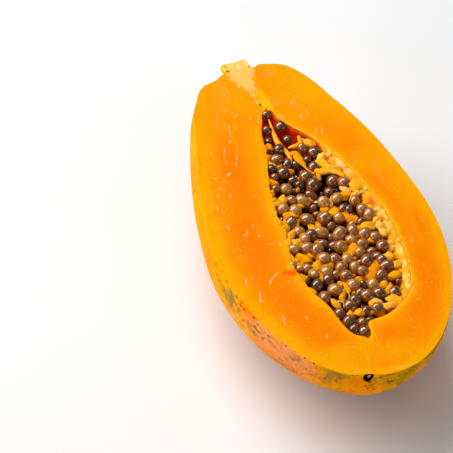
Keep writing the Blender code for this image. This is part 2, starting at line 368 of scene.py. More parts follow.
def raggedness(y, right):
    # How far the cavity's edge wanders: torn fibres on the right side, cleaner on the left and at the tips
    strength = 1.0 if right else 0.55
    ends = smoothStep(-0.064, -0.050, y) * (1 - smoothStep(0.052, 0.066, y))
    side = 3.1 if right else 7.7
    wander = noise.noise(Vector((y * 260, side, 0))) + 0.7 * noise.noise(Vector((y * 700, side, 4)))
    return cavity["ragged"] * strength * ends * wander


def tornShare(y):
    return smoothStep(*cavity["tornFrom"], y) * (1 - smoothStep(*cavity["tornTo"], y))


def cavityPoint(station, angle):
    y = cavityY(station)
    left, right = cavityEdges(y)
    steep = cavity["wallSteepness"]
    across, down = math.cos(angle), math.sin(angle)
    across = math.copysign(abs(across) ** steep, across)
    down = max(0.0, down) ** (1.0 + 0.35 * (1 - steep))
    middle, half = (left + right) / 2, (right - left) / 2
    x = middle + half * across
    x -= math.copysign(raggedness(y, across > 0), across) * math.exp(-((down / 0.25) ** 2))
    if across > 0:
        torn = tornShare(y)
        x -= cavity["ledge"] * torn * smoothStep(0.0, 0.14, down) * (1 - smoothStep(0.5, 0.9, down))
        lumps = 0.4 * noise.noise(Vector((x * 480, y * 480, down * 9)))
        lumps += 0.7 * noise.noise(Vector((x * 190, y * 240, 3.0)))
        x -= cavity["lumps"] * torn * lumps * math.exp(-(((down - 0.10) / 0.09) ** 2))
    place = Vector((x, y, -cavityDepth(y) * down))
    if 0.02 < down < 0.98:
        rough = noise.noise(place * 420) * 0.0005 + noise.noise(place * 1300) * 0.00018
        place += Vector((-math.copysign(1, across), 0, 0.3)) * rough * smoothStep(0.0, 0.15, down)
    return place


def gridPiece(bm, columns, rows, place, material, layers):
    # A grid bent into place: place gets two shares from 0 to 1 and returns a point and the layers' values
    verts = bmesh.ops.create_grid(bm, x_segments=columns, y_segments=rows, size=0.5)["verts"]
    for face in {face for vert in verts for face in vert.link_faces}:
        face.material_index = material
    for vert in verts:
        spot, values = place(vert.co.x + 0.5, vert.co.y + 0.5)
        vert.co = spot
        for layer, value in zip(layers, values):
            vert[layer] = value


def stationAt(share):
    return -math.cos(math.pi * share)  # closer together toward the ends


def bowlStationAt(share):
    return 0.5 * (2 * share - 1) - 0.5 * math.cos(math.pi * share)


def buildHalf():
    bm = bmesh.new()
    layers = [bm.verts.layers.float.new(name) for name in ("acrossFlesh", "wallDepth")]

    def peelPlace(along, around):
        return skinPoint(stationAt(along), math.pi * around), (0.0, 0.0)

    def facePlace(around, across):
        # Once round the cut face: down the +X side to the blossom end, and back up the -X side
        side = 0.0 if around <= 0.5 else math.pi
        along = 1 - 2 * around if around <= 0.5 else 2 * around - 1
        rim, lip = skinPoint(stationAt(along), side), cavityPoint(bowlStationAt(along), side)
        share = 0.5 - 0.5 * math.cos(math.pi * across)
        spot = rim.lerp(lip, share)
        spot.z = 0.0
        if across == 0:
            return rim, (share, 0.0)
        if across == 1:
            return lip, (share, 0.0)
        fromRim, fromLip = (spot - rim).length, (spot - lip).length
        inside = smoothStep(0.0, fruit["faceEdge"], fromRim) * smoothStep(0.0, fruit["faceEdge"], fromLip)
        relief = fruit["faceRelief"] * noise.noise(spot * 900)
        relief += fruit["faceWaviness"] * noise.noise(spot * 110)
        spot.z = relief * inside - cavity["lipDrop"] * (1 - smoothStep(0.0, cavity["lipWidth"], fromLip))
        return spot, (share, 0.0)

    def bowlPlace(along, around):
        spot = cavityPoint(bowlStationAt(along), math.pi * around)
        return spot, (1.0, -spot.z / cavity["depth"])

    gridPiece(bm, fruit["stations"], fruit["turns"], peelPlace, 0, layers)
    gridPiece(bm, 2 * fruit["stations"], fruit["rings"], facePlace, 1, layers)
    gridPiece(bm, fruit["stations"], fruit["bowlTurns"], bowlPlace, 2, layers)
    bmesh.ops.remove_doubles(bm, verts=bm.verts, dist=mergeReach)
    # The cut face's two ends meet at the tips, where a slit finer than a hair is left to close
    slits = [edge for edge in bm.edges if len(edge.link_faces) < 2]
    for face in bmesh.ops.holes_fill(bm, edges=slits, sides=0)["faces"]:
        face.material_index = 1
    faceOutward(bm)
    print("half's open edges:", sum(1 for edge in bm.edges if len(edge.link_faces) < 2))
    return bm


fleshColours = {
    "edge": srgb(252, 172, 0), "nearPeel": srgb(255, 170, 0), "outer": srgb(255, 150, 0),
    "middle": srgb(255, 134, 0), "deep": srgb(255, 122, 0), "nearSeeds": srgb(255, 148, 0),
    "lip": srgb(255, 176, 4), "stemSide": srgb(255, 158, 0), "pale": srgb(255, 198, 100),
    "vein": srgb(255, 192, 0),
    "torn": srgb(255, 188, 66), "dot": srgb(196, 120, 34), "bruise": srgb(255, 164, 66),
    "glint": srgb(255, 226, 190), "speck": srgb(96, 20, 2), "redShade": srgb(255, 76, 0),
}
# Column, row, inner and outer reach in mm, stretch, share and colour
fleshPatches = [
    (263, 100, 1.0, 5.0, (1.3, 0.45), 0.85, "vein"), (268, 108, 1.0, 3.6, (1.0, 0.6), 0.75, "vein"),
    (243, 71, 5.2, 6.8, (0.95, 2.0), 0.95, "pale"), (241.5, 76.5, 4.6, 7.2, (0.95, 1.6), 0.95, "pale"),
    (246, 83.5, 3.4, 5.6, (0.98, 1.7), 0.95, "pale"), (250, 89, 2.0, 3.8, (1.0, 1.2), 0.9, "pale"),
    (253.6, 95, 0.8, 2.2, (1.1, 0.8), 0.9, "pale"), (257, 102.5, 0.2, 1.6, (1.7, 0.35), 0.85, "pale"),
    (222, 92, 1.0, 5.0, (1.3, 0.5), 0.25, "bruise"), (221, 106, 0.6, 4.5, (1.8, 0.5), 0.3, "bruise"),
    (269, 73, 1.0, 4.0, (0.7, 1.5), 0.45, "bruise"), (277, 102, 1.0, 4.5, (1.0, 1.0), 0.3, "bruise"),
    (297, 105, 0.6, 3.5, (1.0, 1.0), 0.35, "bruise"), (376, 172, 1.0, 5.5, (1.9, 0.6), 0.22, "bruise"),
    (340, 92, 6.0, 22.0, (0.5, 1.0), 0.55, "nearPeel"), (300, 85, 4.0, 16.0, (0.6, 1.0), 0.4, "nearPeel"),
    (240, 102, 3.0, 12.0, (1.0, 0.8), 0.45, "nearPeel"),
    (350, 356, 5.0, 19.0, (0.6, 1.5), 0.7, "nearPeel"), (400, 350, 3.0, 15.0, (0.9, 1.5), 0.5, "nearPeel"),
    (420, 200, 2.0, 12.0, (1.5, 0.4), 0.3, "nearPeel"), (232, 165, 3.0, 12.0, (1.4, 0.45), 0.55, "deep"),
    (250, 240, 3.0, 13.0, (1.3, 0.6), 0.45, "deep"), (298, 308, 3.0, 10.0, (1.2, 0.9), 0.35, "deep"),
    (396, 185, 3.0, 13.0, (1.5, 0.5), 0.5, "nearPeel"), (412, 230, 3.0, 12.0, (1.6, 0.5), 0.4, "outer"),
    (368, 160, 3.0, 12.0, (1.0, 0.8), 0.55, "nearPeel"), (412, 328, 3.0, 12.0, (1.0, 0.8), 0.45, "outer"),
    (291, 273, 0.8, 4.6, (0.7, 1.3), 0.8, "redShade"),
]
# From column and row to column and row, width in mm, share and colour
fleshMarks = [
    (217, 104, 218, 128, 2.0, 0.6, "bruise"), (218, 120, 215, 134, 1.3, 0.8, "bruise"),
    (215.5, 130, 214, 156, 0.9, 0.4, "bruise"), (214, 156, 218, 172, 0.6, 0.4, "vein"),
    (218, 170, 224.5, 180, 0.6, 0.5, "vein"), (221, 101, 227, 84, 1.1, 0.5, "bruise"),
    (214, 112, 216, 92, 1.0, 0.5, "bruise"), (226.5, 105.5, 229.5, 97, 0.6, 0.7, "pale"),
    (225, 114, 227.5, 108, 0.6, 0.7, "glint"), (228.5, 124, 230.5, 132, 1.0, 0.9, "glint"),
    (229.5, 130, 231, 138, 0.8, 0.9, "glint"), (231.5, 138, 229, 145, 0.8, 0.8, "glint"),
    (234, 130, 237, 125, 0.7, 0.8, "glint"), (235.8, 119, 236.4, 112, 0.6, 0.8, "glint"),
    (223.5, 131, 225, 122, 0.6, 0.7, "glint"), (224, 145, 225, 158, 0.6, 0.7, "glint"),
    (225, 158, 227, 167, 0.6, 0.6, "glint"), (236, 146, 237, 172, 0.5, 0.7, "glint"),
    (227, 177, 229.5, 172, 1.6, 0.95, "glint"), (221.5, 182, 224.5, 179, 0.8, 0.8, "glint"),
    (218.5, 191, 220.5, 187, 0.9, 0.9, "glint"), (217, 212, 220, 194, 1.3, 0.75, "bruise"),
    (217.5, 214, 217.5, 202, 0.6, 0.9, "glint"), (216, 222, 221, 215, 1.8, 0.8, "bruise"),
    (225, 224, 230, 232, 1.4, 0.8, "glint"), (229, 199, 231, 193, 0.7, 0.7, "glint"),
    (239, 180, 244.5, 164, 0.6, 0.5, "vein"), (247.3, 229, 247.3, 237, 0.8, 0.9, "glint"),
    (252, 227, 253.5, 224, 0.8, 0.9, "glint"), (258, 238, 260, 234, 0.8, 0.9, "glint"),
    (267, 284, 281, 270, 0.8, 0.85, "glint"), (268, 287, 274, 276, 0.6, 0.7, "glint"),
    (260, 290, 260.5, 305, 1.1, 0.8, "glint"), (244, 274, 247.5, 289, 1.0, 0.6, "glint"),
    (268, 310, 284, 291, 0.5, 0.6, "pale"), (278, 310, 287, 328, 1.8, 0.65, "bruise"),
    (282, 314, 286, 326, 0.9, 0.7, "glint"), (325.5, 339, 328, 334, 0.8, 0.8, "glint"),
    (316, 332, 326, 319, 0.5, 0.6, "lip"), (364, 339, 370, 371, 1.4, 0.6, "vein"),
    (359, 340, 363, 362, 0.6, 0.5, "vein"), (354, 150, 354, 170, 0.6, 0.55, "pale"),
    (369, 157, 377, 172, 1.9, 0.5, "bruise"), (378, 170, 387, 190, 1.9, 0.5, "bruise"),
    (400, 199, 410, 213, 0.5, 0.6, "vein"), (346, 146, 362, 147, 0.5, 0.5, "vein"),
    (410, 213, 415, 236, 0.5, 0.6, "vein"), (366, 152, 382, 170, 0.6, 0.5, "vein"),
    (382, 170, 404, 200, 0.6, 0.5, "vein"), (404, 200, 416, 232, 0.6, 0.4, "vein"),
    (405, 213, 406, 217, 0.9, 0.8, "glint"), (411, 238, 412, 243, 0.9, 0.7, "glint"),
    (291, 99, 291.5, 106, 1.0, 0.7, "glint"), (301, 112, 301, 120, 0.8, 0.75, "glint"),
    (306, 109, 309, 116, 0.9, 0.75, "glint"), (321.5, 123, 322, 138, 0.8, 0.6, "glint"),
    (316, 126, 316, 135, 0.7, 0.5, "glint"), (249, 83.6, 249.3, 85.6, 0.7, 0.8, "dot"),
    (251, 89.2, 251.3, 91.2, 0.6, 0.8, "dot"), (254.8, 68, 255.4, 80, 0.7, 0.8, "vein"),
    (256, 84, 257.5, 98, 0.8, 0.7, "pale"), (258, 98, 260, 110, 0.8, 0.7, "pale"),
    (264, 96, 273, 110, 1.0, 0.75, "pale"), (272, 110, 288, 121, 1.2, 0.7, "pale"),
    (259, 115, 258.4, 126, 0.9, 0.8, "pale"), (377, 321, 379, 325, 1.0, 0.8, "glint"),
    (410, 341, 416, 337, 0.6, 0.6, "vein"), (262, 136, 261.5, 200, 1.0, 0.45, "vein"),
    (300, 334, 312, 344, 0.6, 0.4, "lip"), (372.5, 372.5, 375.6, 368.6, 0.6, 0.9, "redShade"),
    (385, 345, 400, 352, 0.6, 0.4, "vein"), (388, 371, 418, 362.5, 2.6, 0.75, "torn"),
]


def fleshMaterial():
    material, tree, surface, place = newMaterial("cutFlesh")
    across = attributeValue(tree, "acrossFlesh")
    patches = noiseValue(tree, place, 46, detail=3, roughness=0.55)
    shifted = swayed(tree, across, patches, 0.22)
    colour = ramp(tree, shifted, [
        (0.000, fleshColours["edge"]), (0.012, fleshColours["nearPeel"]), (0.10, fleshColours["nearPeel"]),
        (0.22, fleshColours["outer"]), (0.42, fleshColours["middle"]), (0.68, fleshColours["middle"]),
        (0.85, fleshColours["nearSeeds"]), (0.96, fleshColours["lip"]), (1.0, fleshColours["lip"]),
    ])
    x, y = (coordinate(tree, place, name) for name in "XY")

    # Deeper orange at the blossom end's right, lighter toward the stalk
    deepSide = times(tree, between(tree, x, 0.0, 0.05), between(tree, y, 0.03, -0.07))
    colour = tinted(tree, colour, fleshColours["deep"], deepSide, 0.15)
    stemSide = times(tree, between(tree, y, 0.025, 0.09), 0.66)
    colour = mixed(tree, stemSide, colour, fleshColours["stemSide"])
    cloudy = ramp(tree, noiseValue(tree, place, 120, detail=4, roughness=0.6), [(0.50, 0.0), (0.72, 1.0)])
    colour = tinted(tree, colour, fleshColours["deep"], cloudy, 0.35)

    # The pale fibres below the stalk, and the yellow wedge that runs on to the first seed
    wobbled = wobbledPlace(tree, place, 170.0, 3.0, (0.003, 0.005, 0.0))
    for column, row, inner, outer, stretch, share, name in fleshPatches:
        spot = photoSpot(column, row, 0) + layDown
        patch = nearPoint(tree, wobbled, spot, inner / 1000, outer / 1000, (*stretch, 0.2))
        colour = tinted(tree, colour, fleshColours[name], patch, share)

    # Fine pale fibre lines, where a noise crosses its middle value
    fibreNoise = noiseValue(tree, place, 70, detail=2, stretch=(1.6, 0.7, 1))
    fibre = ramp(tree, fibreNoise, [(0.492, 0.0), (0.5, 1.0), (0.508, 0.0)])
    fibreMask = noiseValue(tree, place, 95, detail=2, shift=(0.3, 0, 0))
    fibre = times(tree, fibre, ramp(tree, fibreMask, [(0.52, 0.0), (0.60, 1.0)]))
    colour = tinted(tree, colour, fleshColours["lip"], fibre, 0.35)

    # Painted glints: small pale flecks in the colour, standing for the light that wet nicks catch, in loose
    # rows along the fruit
    inFlesh = times(tree, between(tree, across, 0.14, 0.26), between(tree, across, 0.995, 0.93))
    rows = noiseValue(tree, place, 70, detail=2, stretch=(1.7, 0.3, 1), shift=(0.11, 0.2, 0))
    rows = ramp(tree, rows, [(0.44, 0.08), (0.56, 1.0)])
    leftSide = between(tree, x, 0.012, -0.012, 0.25, 1.0)
    broad = spotsIn(tree, place, 290.0, (1.7, 0.62, 0.4), 0.0, 0.155, 0.6, 0.50, 0.25)
    fine = spotsIn(tree, place, 540.0, (1.7, 0.62, 0.4), 0.37, 0.17, 0.6, 0.58, 0.25)
    paintedGlints = times(tree, maths(tree, "MAXIMUM", broad, fine), leftSide)
    paintedGlints = times(tree, paintedGlints, times(tree, rows, inFlesh))
    colour = tinted(tree, colour, fleshColours["glint"], paintedGlints, 0.9)

    # Streaks, knife marks and painted glints, each between two places in the photograph
    grit = noiseValue(tree, place, 750, detail=3, roughness=0.6)
    broken = ramp(tree, grit, [(0.42, 0.1), (0.54, 1.0)])
    wandering = wobbledPlace(tree, place, 260.0, 2.0, (0.0024, 0.0012, 0.0))
    for columnA, rowA, columnB, rowB, width, share, name in fleshMarks:
        start, stop = photoSpot(columnA, rowA, 0) + layDown, photoSpot(columnB, rowB, 0) + layDown
        way = math.atan2(stop.y - start.y, stop.x - start.x)
        local = vectorMaths(tree, "SUBTRACT", wandering, tuple((start + stop) / 2))
        local = addNode(tree, "VectorRotate", {"Vector": local, "Angle": -way}, rotation_type="Z_AXIS")
        stretch = (2 / (stop - start).length, 2000 / width, 0.5)
        mark = times(tree, nearPoint(tree, local.outputs[0], (0, 0, 0), 0.2, 1.0, stretch), broken)
        colour = tinted(tree, colour, fleshColours[name], mark, share)

    # Along the torn right lip the wall's pale fibres run over onto the cut
    tornNoise = noiseValue(tree, place, 330, detail=5, roughness=0.65, shift=(0.2, 0, 0))
    tornEdge = swayed(tree, across, tornNoise, 0.22)
    tornEdge = times(tree, between(tree, tornEdge, 0.965, 0.995), between(tree, x, 0.006, 0.014))
    colour = tinted(tree, colour, fleshColours["torn"], tornEdge, 0.85)

    # The dark speck above the first seed
    speck = nearPoint(tree, place, (-0.0003, 0.0905, 0.052), 0.0002, 0.0010, (1.3, 0.6, 0.2))
    colour = mixed(tree, speck, colour, fleshColours["speck"])

    wet = ramp(tree, noiseValue(tree, place, 240, detail=3), [(0.35, 0.30), (0.65, 0.55)])
    paint(tree, surface, colour, wet, 0.02)
    grain = noiseValue(tree, place, 850, detail=3, roughness=0.6)
    bumped(tree, surface, maths(tree, "ADD", grain, times(tree, fine, 1.5)), 0.00012, 0.6)
    return material


peelColours = {
    "gold": srgb(255, 160, 0), "orange": srgb(250, 136, 0), "deepOrange": srgb(248, 122, 0),
    "blush": srgb(246, 150, 84), "blushShade": srgb(206, 124, 66), "tan": srgb(204, 120, 38),
    "green": srgb(184, 138, 6), "darkGreen": srgb(118, 98, 8), "greyGreen": srgb(150, 118, 54),
    "freckle": srgb(92, 68, 8), "scuff": srgb(255, 216, 160), "rim": srgb(255, 154, 0),
    "ridge": srgb(198, 116, 4), "stain": srgb(100, 62, 20), "under": srgb(132, 70, 12),
    "char": srgb(26, 8, 0), "charLight": srgb(206, 172, 140),
}
# Column, row, inner and outer reach in mm, stretch, share and colour
peelPatches = [
    (222, 287, 0.5, 4.5, (1.4, 0.40, 1.0), 0.9, "green"),
    (232, 301.5, 1.8, 7.2, (1.1, 0.55, 0.9), 0.95, "greyGreen"),
    (217, 274, 0.2, 2.4, (1.4, 0.5, 1.0), 0.8, "green"),
    (236, 309, 0.6, 3.6, (1.0, 0.6, 1.0), 0.8, "greyGreen"),
    (250, 326, 0.6, 5.0, (1.2, 0.55, 1.0), 0.75, "greyGreen"),
    (255, 334, 0.5, 3.2, (1.2, 0.5, 1.0), 0.75, "greyGreen"),
    (270, 342, 0.3, 2.6, (0.8, 0.7, 1.2), 0.7, "greyGreen"),
    (293, 358, 0.6, 4.4, (0.6, 0.8, 1.6), 0.8, "greyGreen"),
    (298, 358.5, 0.3, 2.4, (0.7, 0.8, 1.8), 0.8, "tan"),
    (286, 366, 1.4, 7.4, (0.5, 0.6, 1.4), 0.85, "tan"), (262, 350, 1.0, 5.0, (0.7, 0.6, 1.2), 0.7, "tan"),
    (318, 377, 1.4, 6.4, (0.5, 0.8, 1.5), 0.85, "tan"),
    (335, 378, 2.0, 5.0, (0.8, 1.0, 1.6), 0.85, "greyGreen"),
    (328, 370.5, 0.5, 4.0, (0.6, 1.0, 1.8), 0.7, "green"),
    (338, 376, 1.5, 6.0, (0.55, 1.0, 1.5), 0.9, "greyGreen"),
    (348, 377, 0.8, 4.0, (0.6, 1.0, 2.0), 0.8, "green"),
    (334, 381, 1.0, 5.0, (0.5, 1.0, 1.6), 0.45, "tan"),
    (352, 382, 1.2, 6.0, (0.5, 0.8, 1.5), 0.9, "orange"),
    (372, 385, 1.4, 5.0, (1.1, 0.8, 0.6), 0.9, "ridge"),
    (378, 375, 0.6, 3.5, (1.0, 1.0, 0.9), 0.8, "gold"),
    (392, 379, 2.0, 8.0, (0.6, 1.0, 1.2), 0.85, "green"),
    (404, 377, 1.5, 6.5, (0.8, 1.0, 1.2), 0.8, "green"),
    (389, 382, 0.4, 3.0, (0.8, 1.0, 1.2), 0.8, "stain"),
    (405, 374.5, 0.3, 2.0, (0.8, 1.0, 1.6), 0.75, "stain"),
    (400, 383, 0.3, 2.6, (0.7, 1.0, 1.6), 0.65, "stain"),
    (418, 366, 0.8, 6.0, (0.8, 0.6, 1.2), 0.7, "greyGreen"),
    (427, 354, 0.8, 6.0, (1.0, 0.4, 1.2), 0.6, "greyGreen"),
    (381, 377, 0.2, 1.7, (1.2, 1.0, 0.7), 0.5, "stain"),
    (412, 367, 0.1, 1.6, (0.7, 0.6, 1.6), 0.8, "stain"),
    (248, 310, 2.0, 7.0, (1.3, 0.45, 1.0), 0.9, "deepOrange"),
    (376.5, 375.5, 0.4, 2.0, (1.0, 1.0, 1.0), 0.8, "gold"),
]
# Freckles all over: how many to a metre, size, share of them left out, and shift
peelFreckles = [(260.0, 0.26, 0.36, 0.0), (150.0, 0.17, 0.50, 0.4), (430.0, 0.25, 0.40, 0.7)]
# Dark flecks along the rim and on the blush: column, row and reach in mm
peelFlecks = [
    (227, 281.6, 1.3), (236.5, 297, 1.4), (244.5, 309, 1.3), (254, 317.5, 1.2), (257.5, 324.5, 1.1),
    (286, 346, 1.2), (305, 358, 1.3), (314, 363.5, 1.2), (260, 333, 0.9), (264, 338, 0.9), (281, 348, 0.8),
    (275, 346, 0.7), (257, 340, 0.8), (306, 369, 0.9), (296, 365, 0.9), (345, 373.5, 0.9),
    (354.5, 374, 0.8), (388.5, 375, 1.2), (203, 244, 0.8), (206, 247, 0.7), (201, 230, 0.8),
    (204, 233, 0.8), (199.5, 216, 0.8), (202, 222, 0.7), (208.5, 243, 0.7), (211, 258, 0.8),
    (213, 262, 0.8), (218, 268, 0.8), (209, 262, 0.7), (205, 254, 0.7), (200, 238, 0.7), (222, 271, 0.8),
    (242, 326, 0.9), (240, 321, 0.7), (196, 200, 0.7),
]


def peelMaterial():
    material, tree, surface, place = newMaterial("papayaPeel")
    x, y, z = (coordinate(tree, place, name) for name in "XYZ")
    broad = noiseValue(tree, place, 22, detail=4, roughness=0.55)
    brushed = noiseValue(tree, place, 130, 5, 0.7, stretch=(2.2, 0.45, 2.2))
    fineBrush = noiseValue(tree, place, 300, 4, 0.65, stretch=(1.9, 0.45, 1.9), shift=(0.3, 0.1, 0))
    orange, gold = peelColours["orange"], peelColours["gold"]
    colour = ramp(tree, broad, [(0.34, orange), (0.5, gold), (0.62, orange)])

    # A pinkish tan blush low on the left side of the blossom end, brushed along the fruit
    blush = 0.0
    for column, row, inner, outer in ((262, 333, 0.005, 0.016), (290, 358, 0.006, 0.019)):
        patch = nearPoint(tree, place, skinSpot(column, row), inner, outer, (1, 0.85, 1))
        blush = maths(tree, "MAXIMUM", blush, patch)
    mottled = noiseValue(tree, place, 330, detail=5, roughness=0.7, stretch=(1.3, 0.7, 1.3))
    mottled = ramp(tree, mottled, [(0.46, 0.0), (0.62, 0.75)])
    mottled = mixed(tree, mottled, peelColours["blush"], peelColours["blushShade"])
    colour = tinted(tree, colour, mottled, blush, 0.9)
    tan = ramp(tree, brushed, [(0.42, 0.0), (0.62, 1.0)])
    tan = times(tree, tan, between(tree, z, 0.036, 0.020))
    colour = tinted(tree, colour, peelColours["tan"], tan, 0.6)
    # Painted shade: the peel turns darker brown toward the bottom, where it curves under away from the light
    under = ramp(tree, maths(tree, "MULTIPLY_ADD", brushed, 0.014, z), [(0.018, 1.0), (0.032, 0.0)])
    colour = tinted(tree, colour, peelColours["under"], under, 0.8)
    rim = times(tree, between(tree, z, 0.0465, 0.0505), maths(tree, "SUBTRACT", 1.0, blush))
    colour = tinted(tree, colour, peelColours["rim"], rim, 0.8)

    # Green left over from before it ripened: cloudy patches, strongest at the ends
    cloud = noiseValue(tree, place, 34, detail=7, roughness=0.68, distortion=0.4)
    ends = maths(tree, "MAXIMUM", between(tree, y, -0.045, -0.085), between(tree, y, 0.06, 0.115))
    leaning = maths(tree, "MULTIPLY_ADD", ends, 0.11, cloud)
    green = ramp(tree, leaning, [(0.56, 0.0), (0.68, 1.0)])
    green = times(tree, green, maths(tree, "SUBTRACT", 1.0, blush))
    green = times(tree, green, between(tree, x, -0.050, -0.030))
    darkness = ramp(tree, cloud, [(0.5, 0.0), (0.75, 1.0)])
    greenColour = mixed(tree, darkness, peelColours["green"], peelColours["darkGreen"])
    colour = tinted(tree, colour, greenColour, green, 0.85)
    hairs = noiseValue(tree, place, 620, 4, 0.7, stretch=(1.8, 0.5, 1.8), shift=(0.1, 0.6, 0))
    strokes = maths(tree, "ADD", fineBrush, maths(tree, "SUBTRACT", hairs, 1.0))
    strokes = maths(tree, "MULTIPLY_ADD", strokes, 4.6, 0.50)
    for column, row, inner, outer, stretch, share, name in peelPatches:
        patch = nearPoint(tree, place, skinSpot(column, row), inner / 1000, outer / 1000, stretch)
        patch = times(tree, patch, maths(tree, "MULTIPLY_ADD", patch, 0.15, strokes))
        patch = ramp(tree, patch, [(0.20, 0.0), (0.60, 1.0)])
        colour = tinted(tree, colour, peelColours[name], patch, share)

    # Dark freckles: small dashes along the fruit, some of them in groups
    for scale, size, share, shift in peelFreckles:
        freckle = spotsIn(tree, place, scale, (1.25, 0.5, 1.25), shift, size, 0.55, share, 0.06)
        grouped = noiseValue(tree, place, 46, detail=3, shift=(shift, 0.1, 0))
        freckle = times(tree, freckle, ramp(tree, grouped, [(0.40, 0.0), (0.54, 1.0)]))
        colour = tinted(tree, colour, peelColours["freckle"], freckle, 0.8)
    for column, row, reach in peelFlecks:
        spot = skinSpot(column, row)
        fleck = nearPoint(tree, place, spot, 0.2 * reach / 1000, 0.9 * reach / 1000, (1.9, 0.62, 1.2))
        colour = tinted(tree, colour, peelColours["freckle"], fleck, 0.85)
    scuffs = ramp(tree, fineBrush, [(0.53, 0.0), (0.60, 1.0)])
    scuffed = nearPoint(tree, place, skinSpot(239, 322), 0.002, 0.009, (1, 0.7, 1))
    scuffs = times(tree, scuffs, scuffed)
    colour = tinted(tree, colour, peelColours["scuff"], scuffs, 0.7)

    # The dried blossom scar below the rim, with a pale fleck in it
    char = noiseValue(tree, place, 900, detail=3)
    scar = nearPoint(tree, place, skinSpot(368.2, 375.9), 0.0019, 0.0028, (1.0, 0.4, 0.55))
    scar = swayed(tree, scar, char, 0.9)
    scar = ramp(tree, scar, [(0.40, 0.0), (0.55, 1.0)])
    colour = mixed(tree, scar, colour, peelColours["char"])
    fleck = nearPoint(tree, place, skinSpot(369.0, 376.0), 0.0004, 0.0015, (1.5, 0.6, 0.8))
    colour = tinted(tree, colour, peelColours["charLight"], fleck, 0.8)
    paint(tree, surface, colour, 0.45, 0.004)
    pores = noiseValue(tree, place, 1500, detail=2)
    dents = noiseValue(tree, place, 190, detail=3)
    bumped(tree, surface, maths(tree, "MULTIPLY_ADD", dents, 2.0, pores), 0.00010, 0.5)
    return material


wallColours = {
    "cream": srgb(255, 220, 164), "pale": srgb(255, 196, 92), "yellow": srgb(255, 174, 10),
    "orange": srgb(255, 134, 0), "glow": srgb(255, 62, 0), "red": srgb(255, 36, 0), "dark": srgb(150, 4, 0),
    "hollowShade": srgb(255, 84, 0), "hole": srgb(60, 10, 0),
}
# Where the torn right wall is cream, and the painted shade of its red hollows and dark holes: column, row,
# reach in mm and stretch
wallCream = [
    (333, 150, 4.0, (1.0, 0.8)), (341, 163, 3.6, (1.0, 0.7)), (347, 172, 2.4, (1.0, 0.8)),
    (379, 212, 4.2, (1.2, 0.7)), (384, 224, 4.0, (1.0, 0.7)), (381, 231, 3.2, (0.8, 1.0)),
    (399, 248, 2.6, (1.3, 0.6)), (402, 263, 3.4, (1.2, 0.8)), (406, 276, 3.2, (1.3, 0.6)),
    (409, 287, 3.0, (1.6, 0.6)), (317, 136, 3.0, (1.0, 0.8)), (300, 126, 2.6, (1.2, 0.8)),
]
wallShadeHollows = [
    (371.5, 201.5, 2.6, (1.3, 0.7), "hollowShade"), (391, 243.5, 2.6, (0.8, 1.2), "hollowShade"),
    (327, 157, 2.0, (1.0, 1.0), "hollowShade"), (340, 168, 1.6, (1.0, 1.0), "hollowShade"),
    (396.5, 259, 2.1, (0.8, 1.5), "hole"), (396, 282, 4.6, (0.8, 2.2), "hole"),
    (380, 230, 1.4, (1.0, 1.0), "hollowShade"),
]


def wallMaterial():
    material, tree, surface, place = newMaterial("cavityWall")
    depth = attributeValue(tree, "wallDepth")
    cream, pale, yellow, orange, glow, red, dark = (
        wallColours[name] for name in ("cream", "pale", "yellow", "orange", "glow", "red", "dark"))
    torn = noiseValue(tree, place, 500, detail=5, roughness=0.7, stretch=(1, 1, 0.6))
    clumps = noiseValue(tree, place, 260, detail=3, roughness=0.6, shift=(0.4, 0, 0))
    ragged = swayed(tree, depth, torn, 0.16)
    paleBand = ramp(tree, torn, [(0.36, yellow), (0.50, pale), (0.66, cream)])
    warmBand = ramp(tree, torn, [(0.36, orange), (0.55, yellow), (0.70, pale)])
    creamy = 0.0
    for column, row, outer, stretch in wallCream:
        spot = photoSpot(column, row, -0.0010) + layDown
        patch = nearPoint(tree, place, spot, 0.3 * outer / 1000, outer / 1000, (*stretch, 0.5))
        creamy = maths(tree, "MAXIMUM", creamy, patch)
    creamy = swayed(tree, creamy, clumps, 1.6)
    band = mixed(tree, between(tree, creamy, 0.22, 0.52), warmBand, paleBand)
    # Lower on the torn wall the colour turns red, its own colour, then dark: that dark is painted shade
    lower = ramp(tree, ragged, [(0.16, yellow), (0.24, orange), (0.38, red), (0.75, dark)])
    fibrous = mixed(tree, between(tree, ragged, 0.10, 0.19), band, lower)
    # On the smooth wall too the red deepens to dark further down, the dark being painted shade
    smoothStops = [(0.0, pale), (0.012, yellow), (0.034, orange), (0.09, glow), (0.34, red), (0.8, dark)]
    smooth = ramp(tree, depth, smoothStops)
    # Painted shade: the hollows tinted deep red and the holes dark brown
    for column, row, outer, stretch, name in wallShadeHollows:
        spot = photoSpot(column, row, -0.0015) + layDown
        hollowShade = nearPoint(tree, place, spot, 0.3 * outer / 1000, outer / 1000, (*stretch, 0.5))
        fibrous = tinted(tree, fibrous, wallColours[name], hollowShade, 0.9)
    stemEnd = between(tree, coordinate(tree, place, "Y"), 0.052, 0.062)
    paint(tree, surface, mixed(tree, stemEnd, fibrous, smooth), 0.4, 0.06)
    bumped(tree, surface, torn, 0.0004, 0.6)
    return material


half = buildHalf()
peelMap = BVHTree.FromBMesh(half)


def skinSpot(column, row):
    # Where the camera's line through a pixel of the photograph meets the laid down fruit
    line = photoSpot(column, row, 0) + layDown - cameraPlace
    return peelMap.ray_cast(cameraPlace - layDown, line.normalized())[0] + layDown


addPiece("papayaHalf", half, [peelMaterial(), fleshMaterial(), wallMaterial()], "flesh_half")


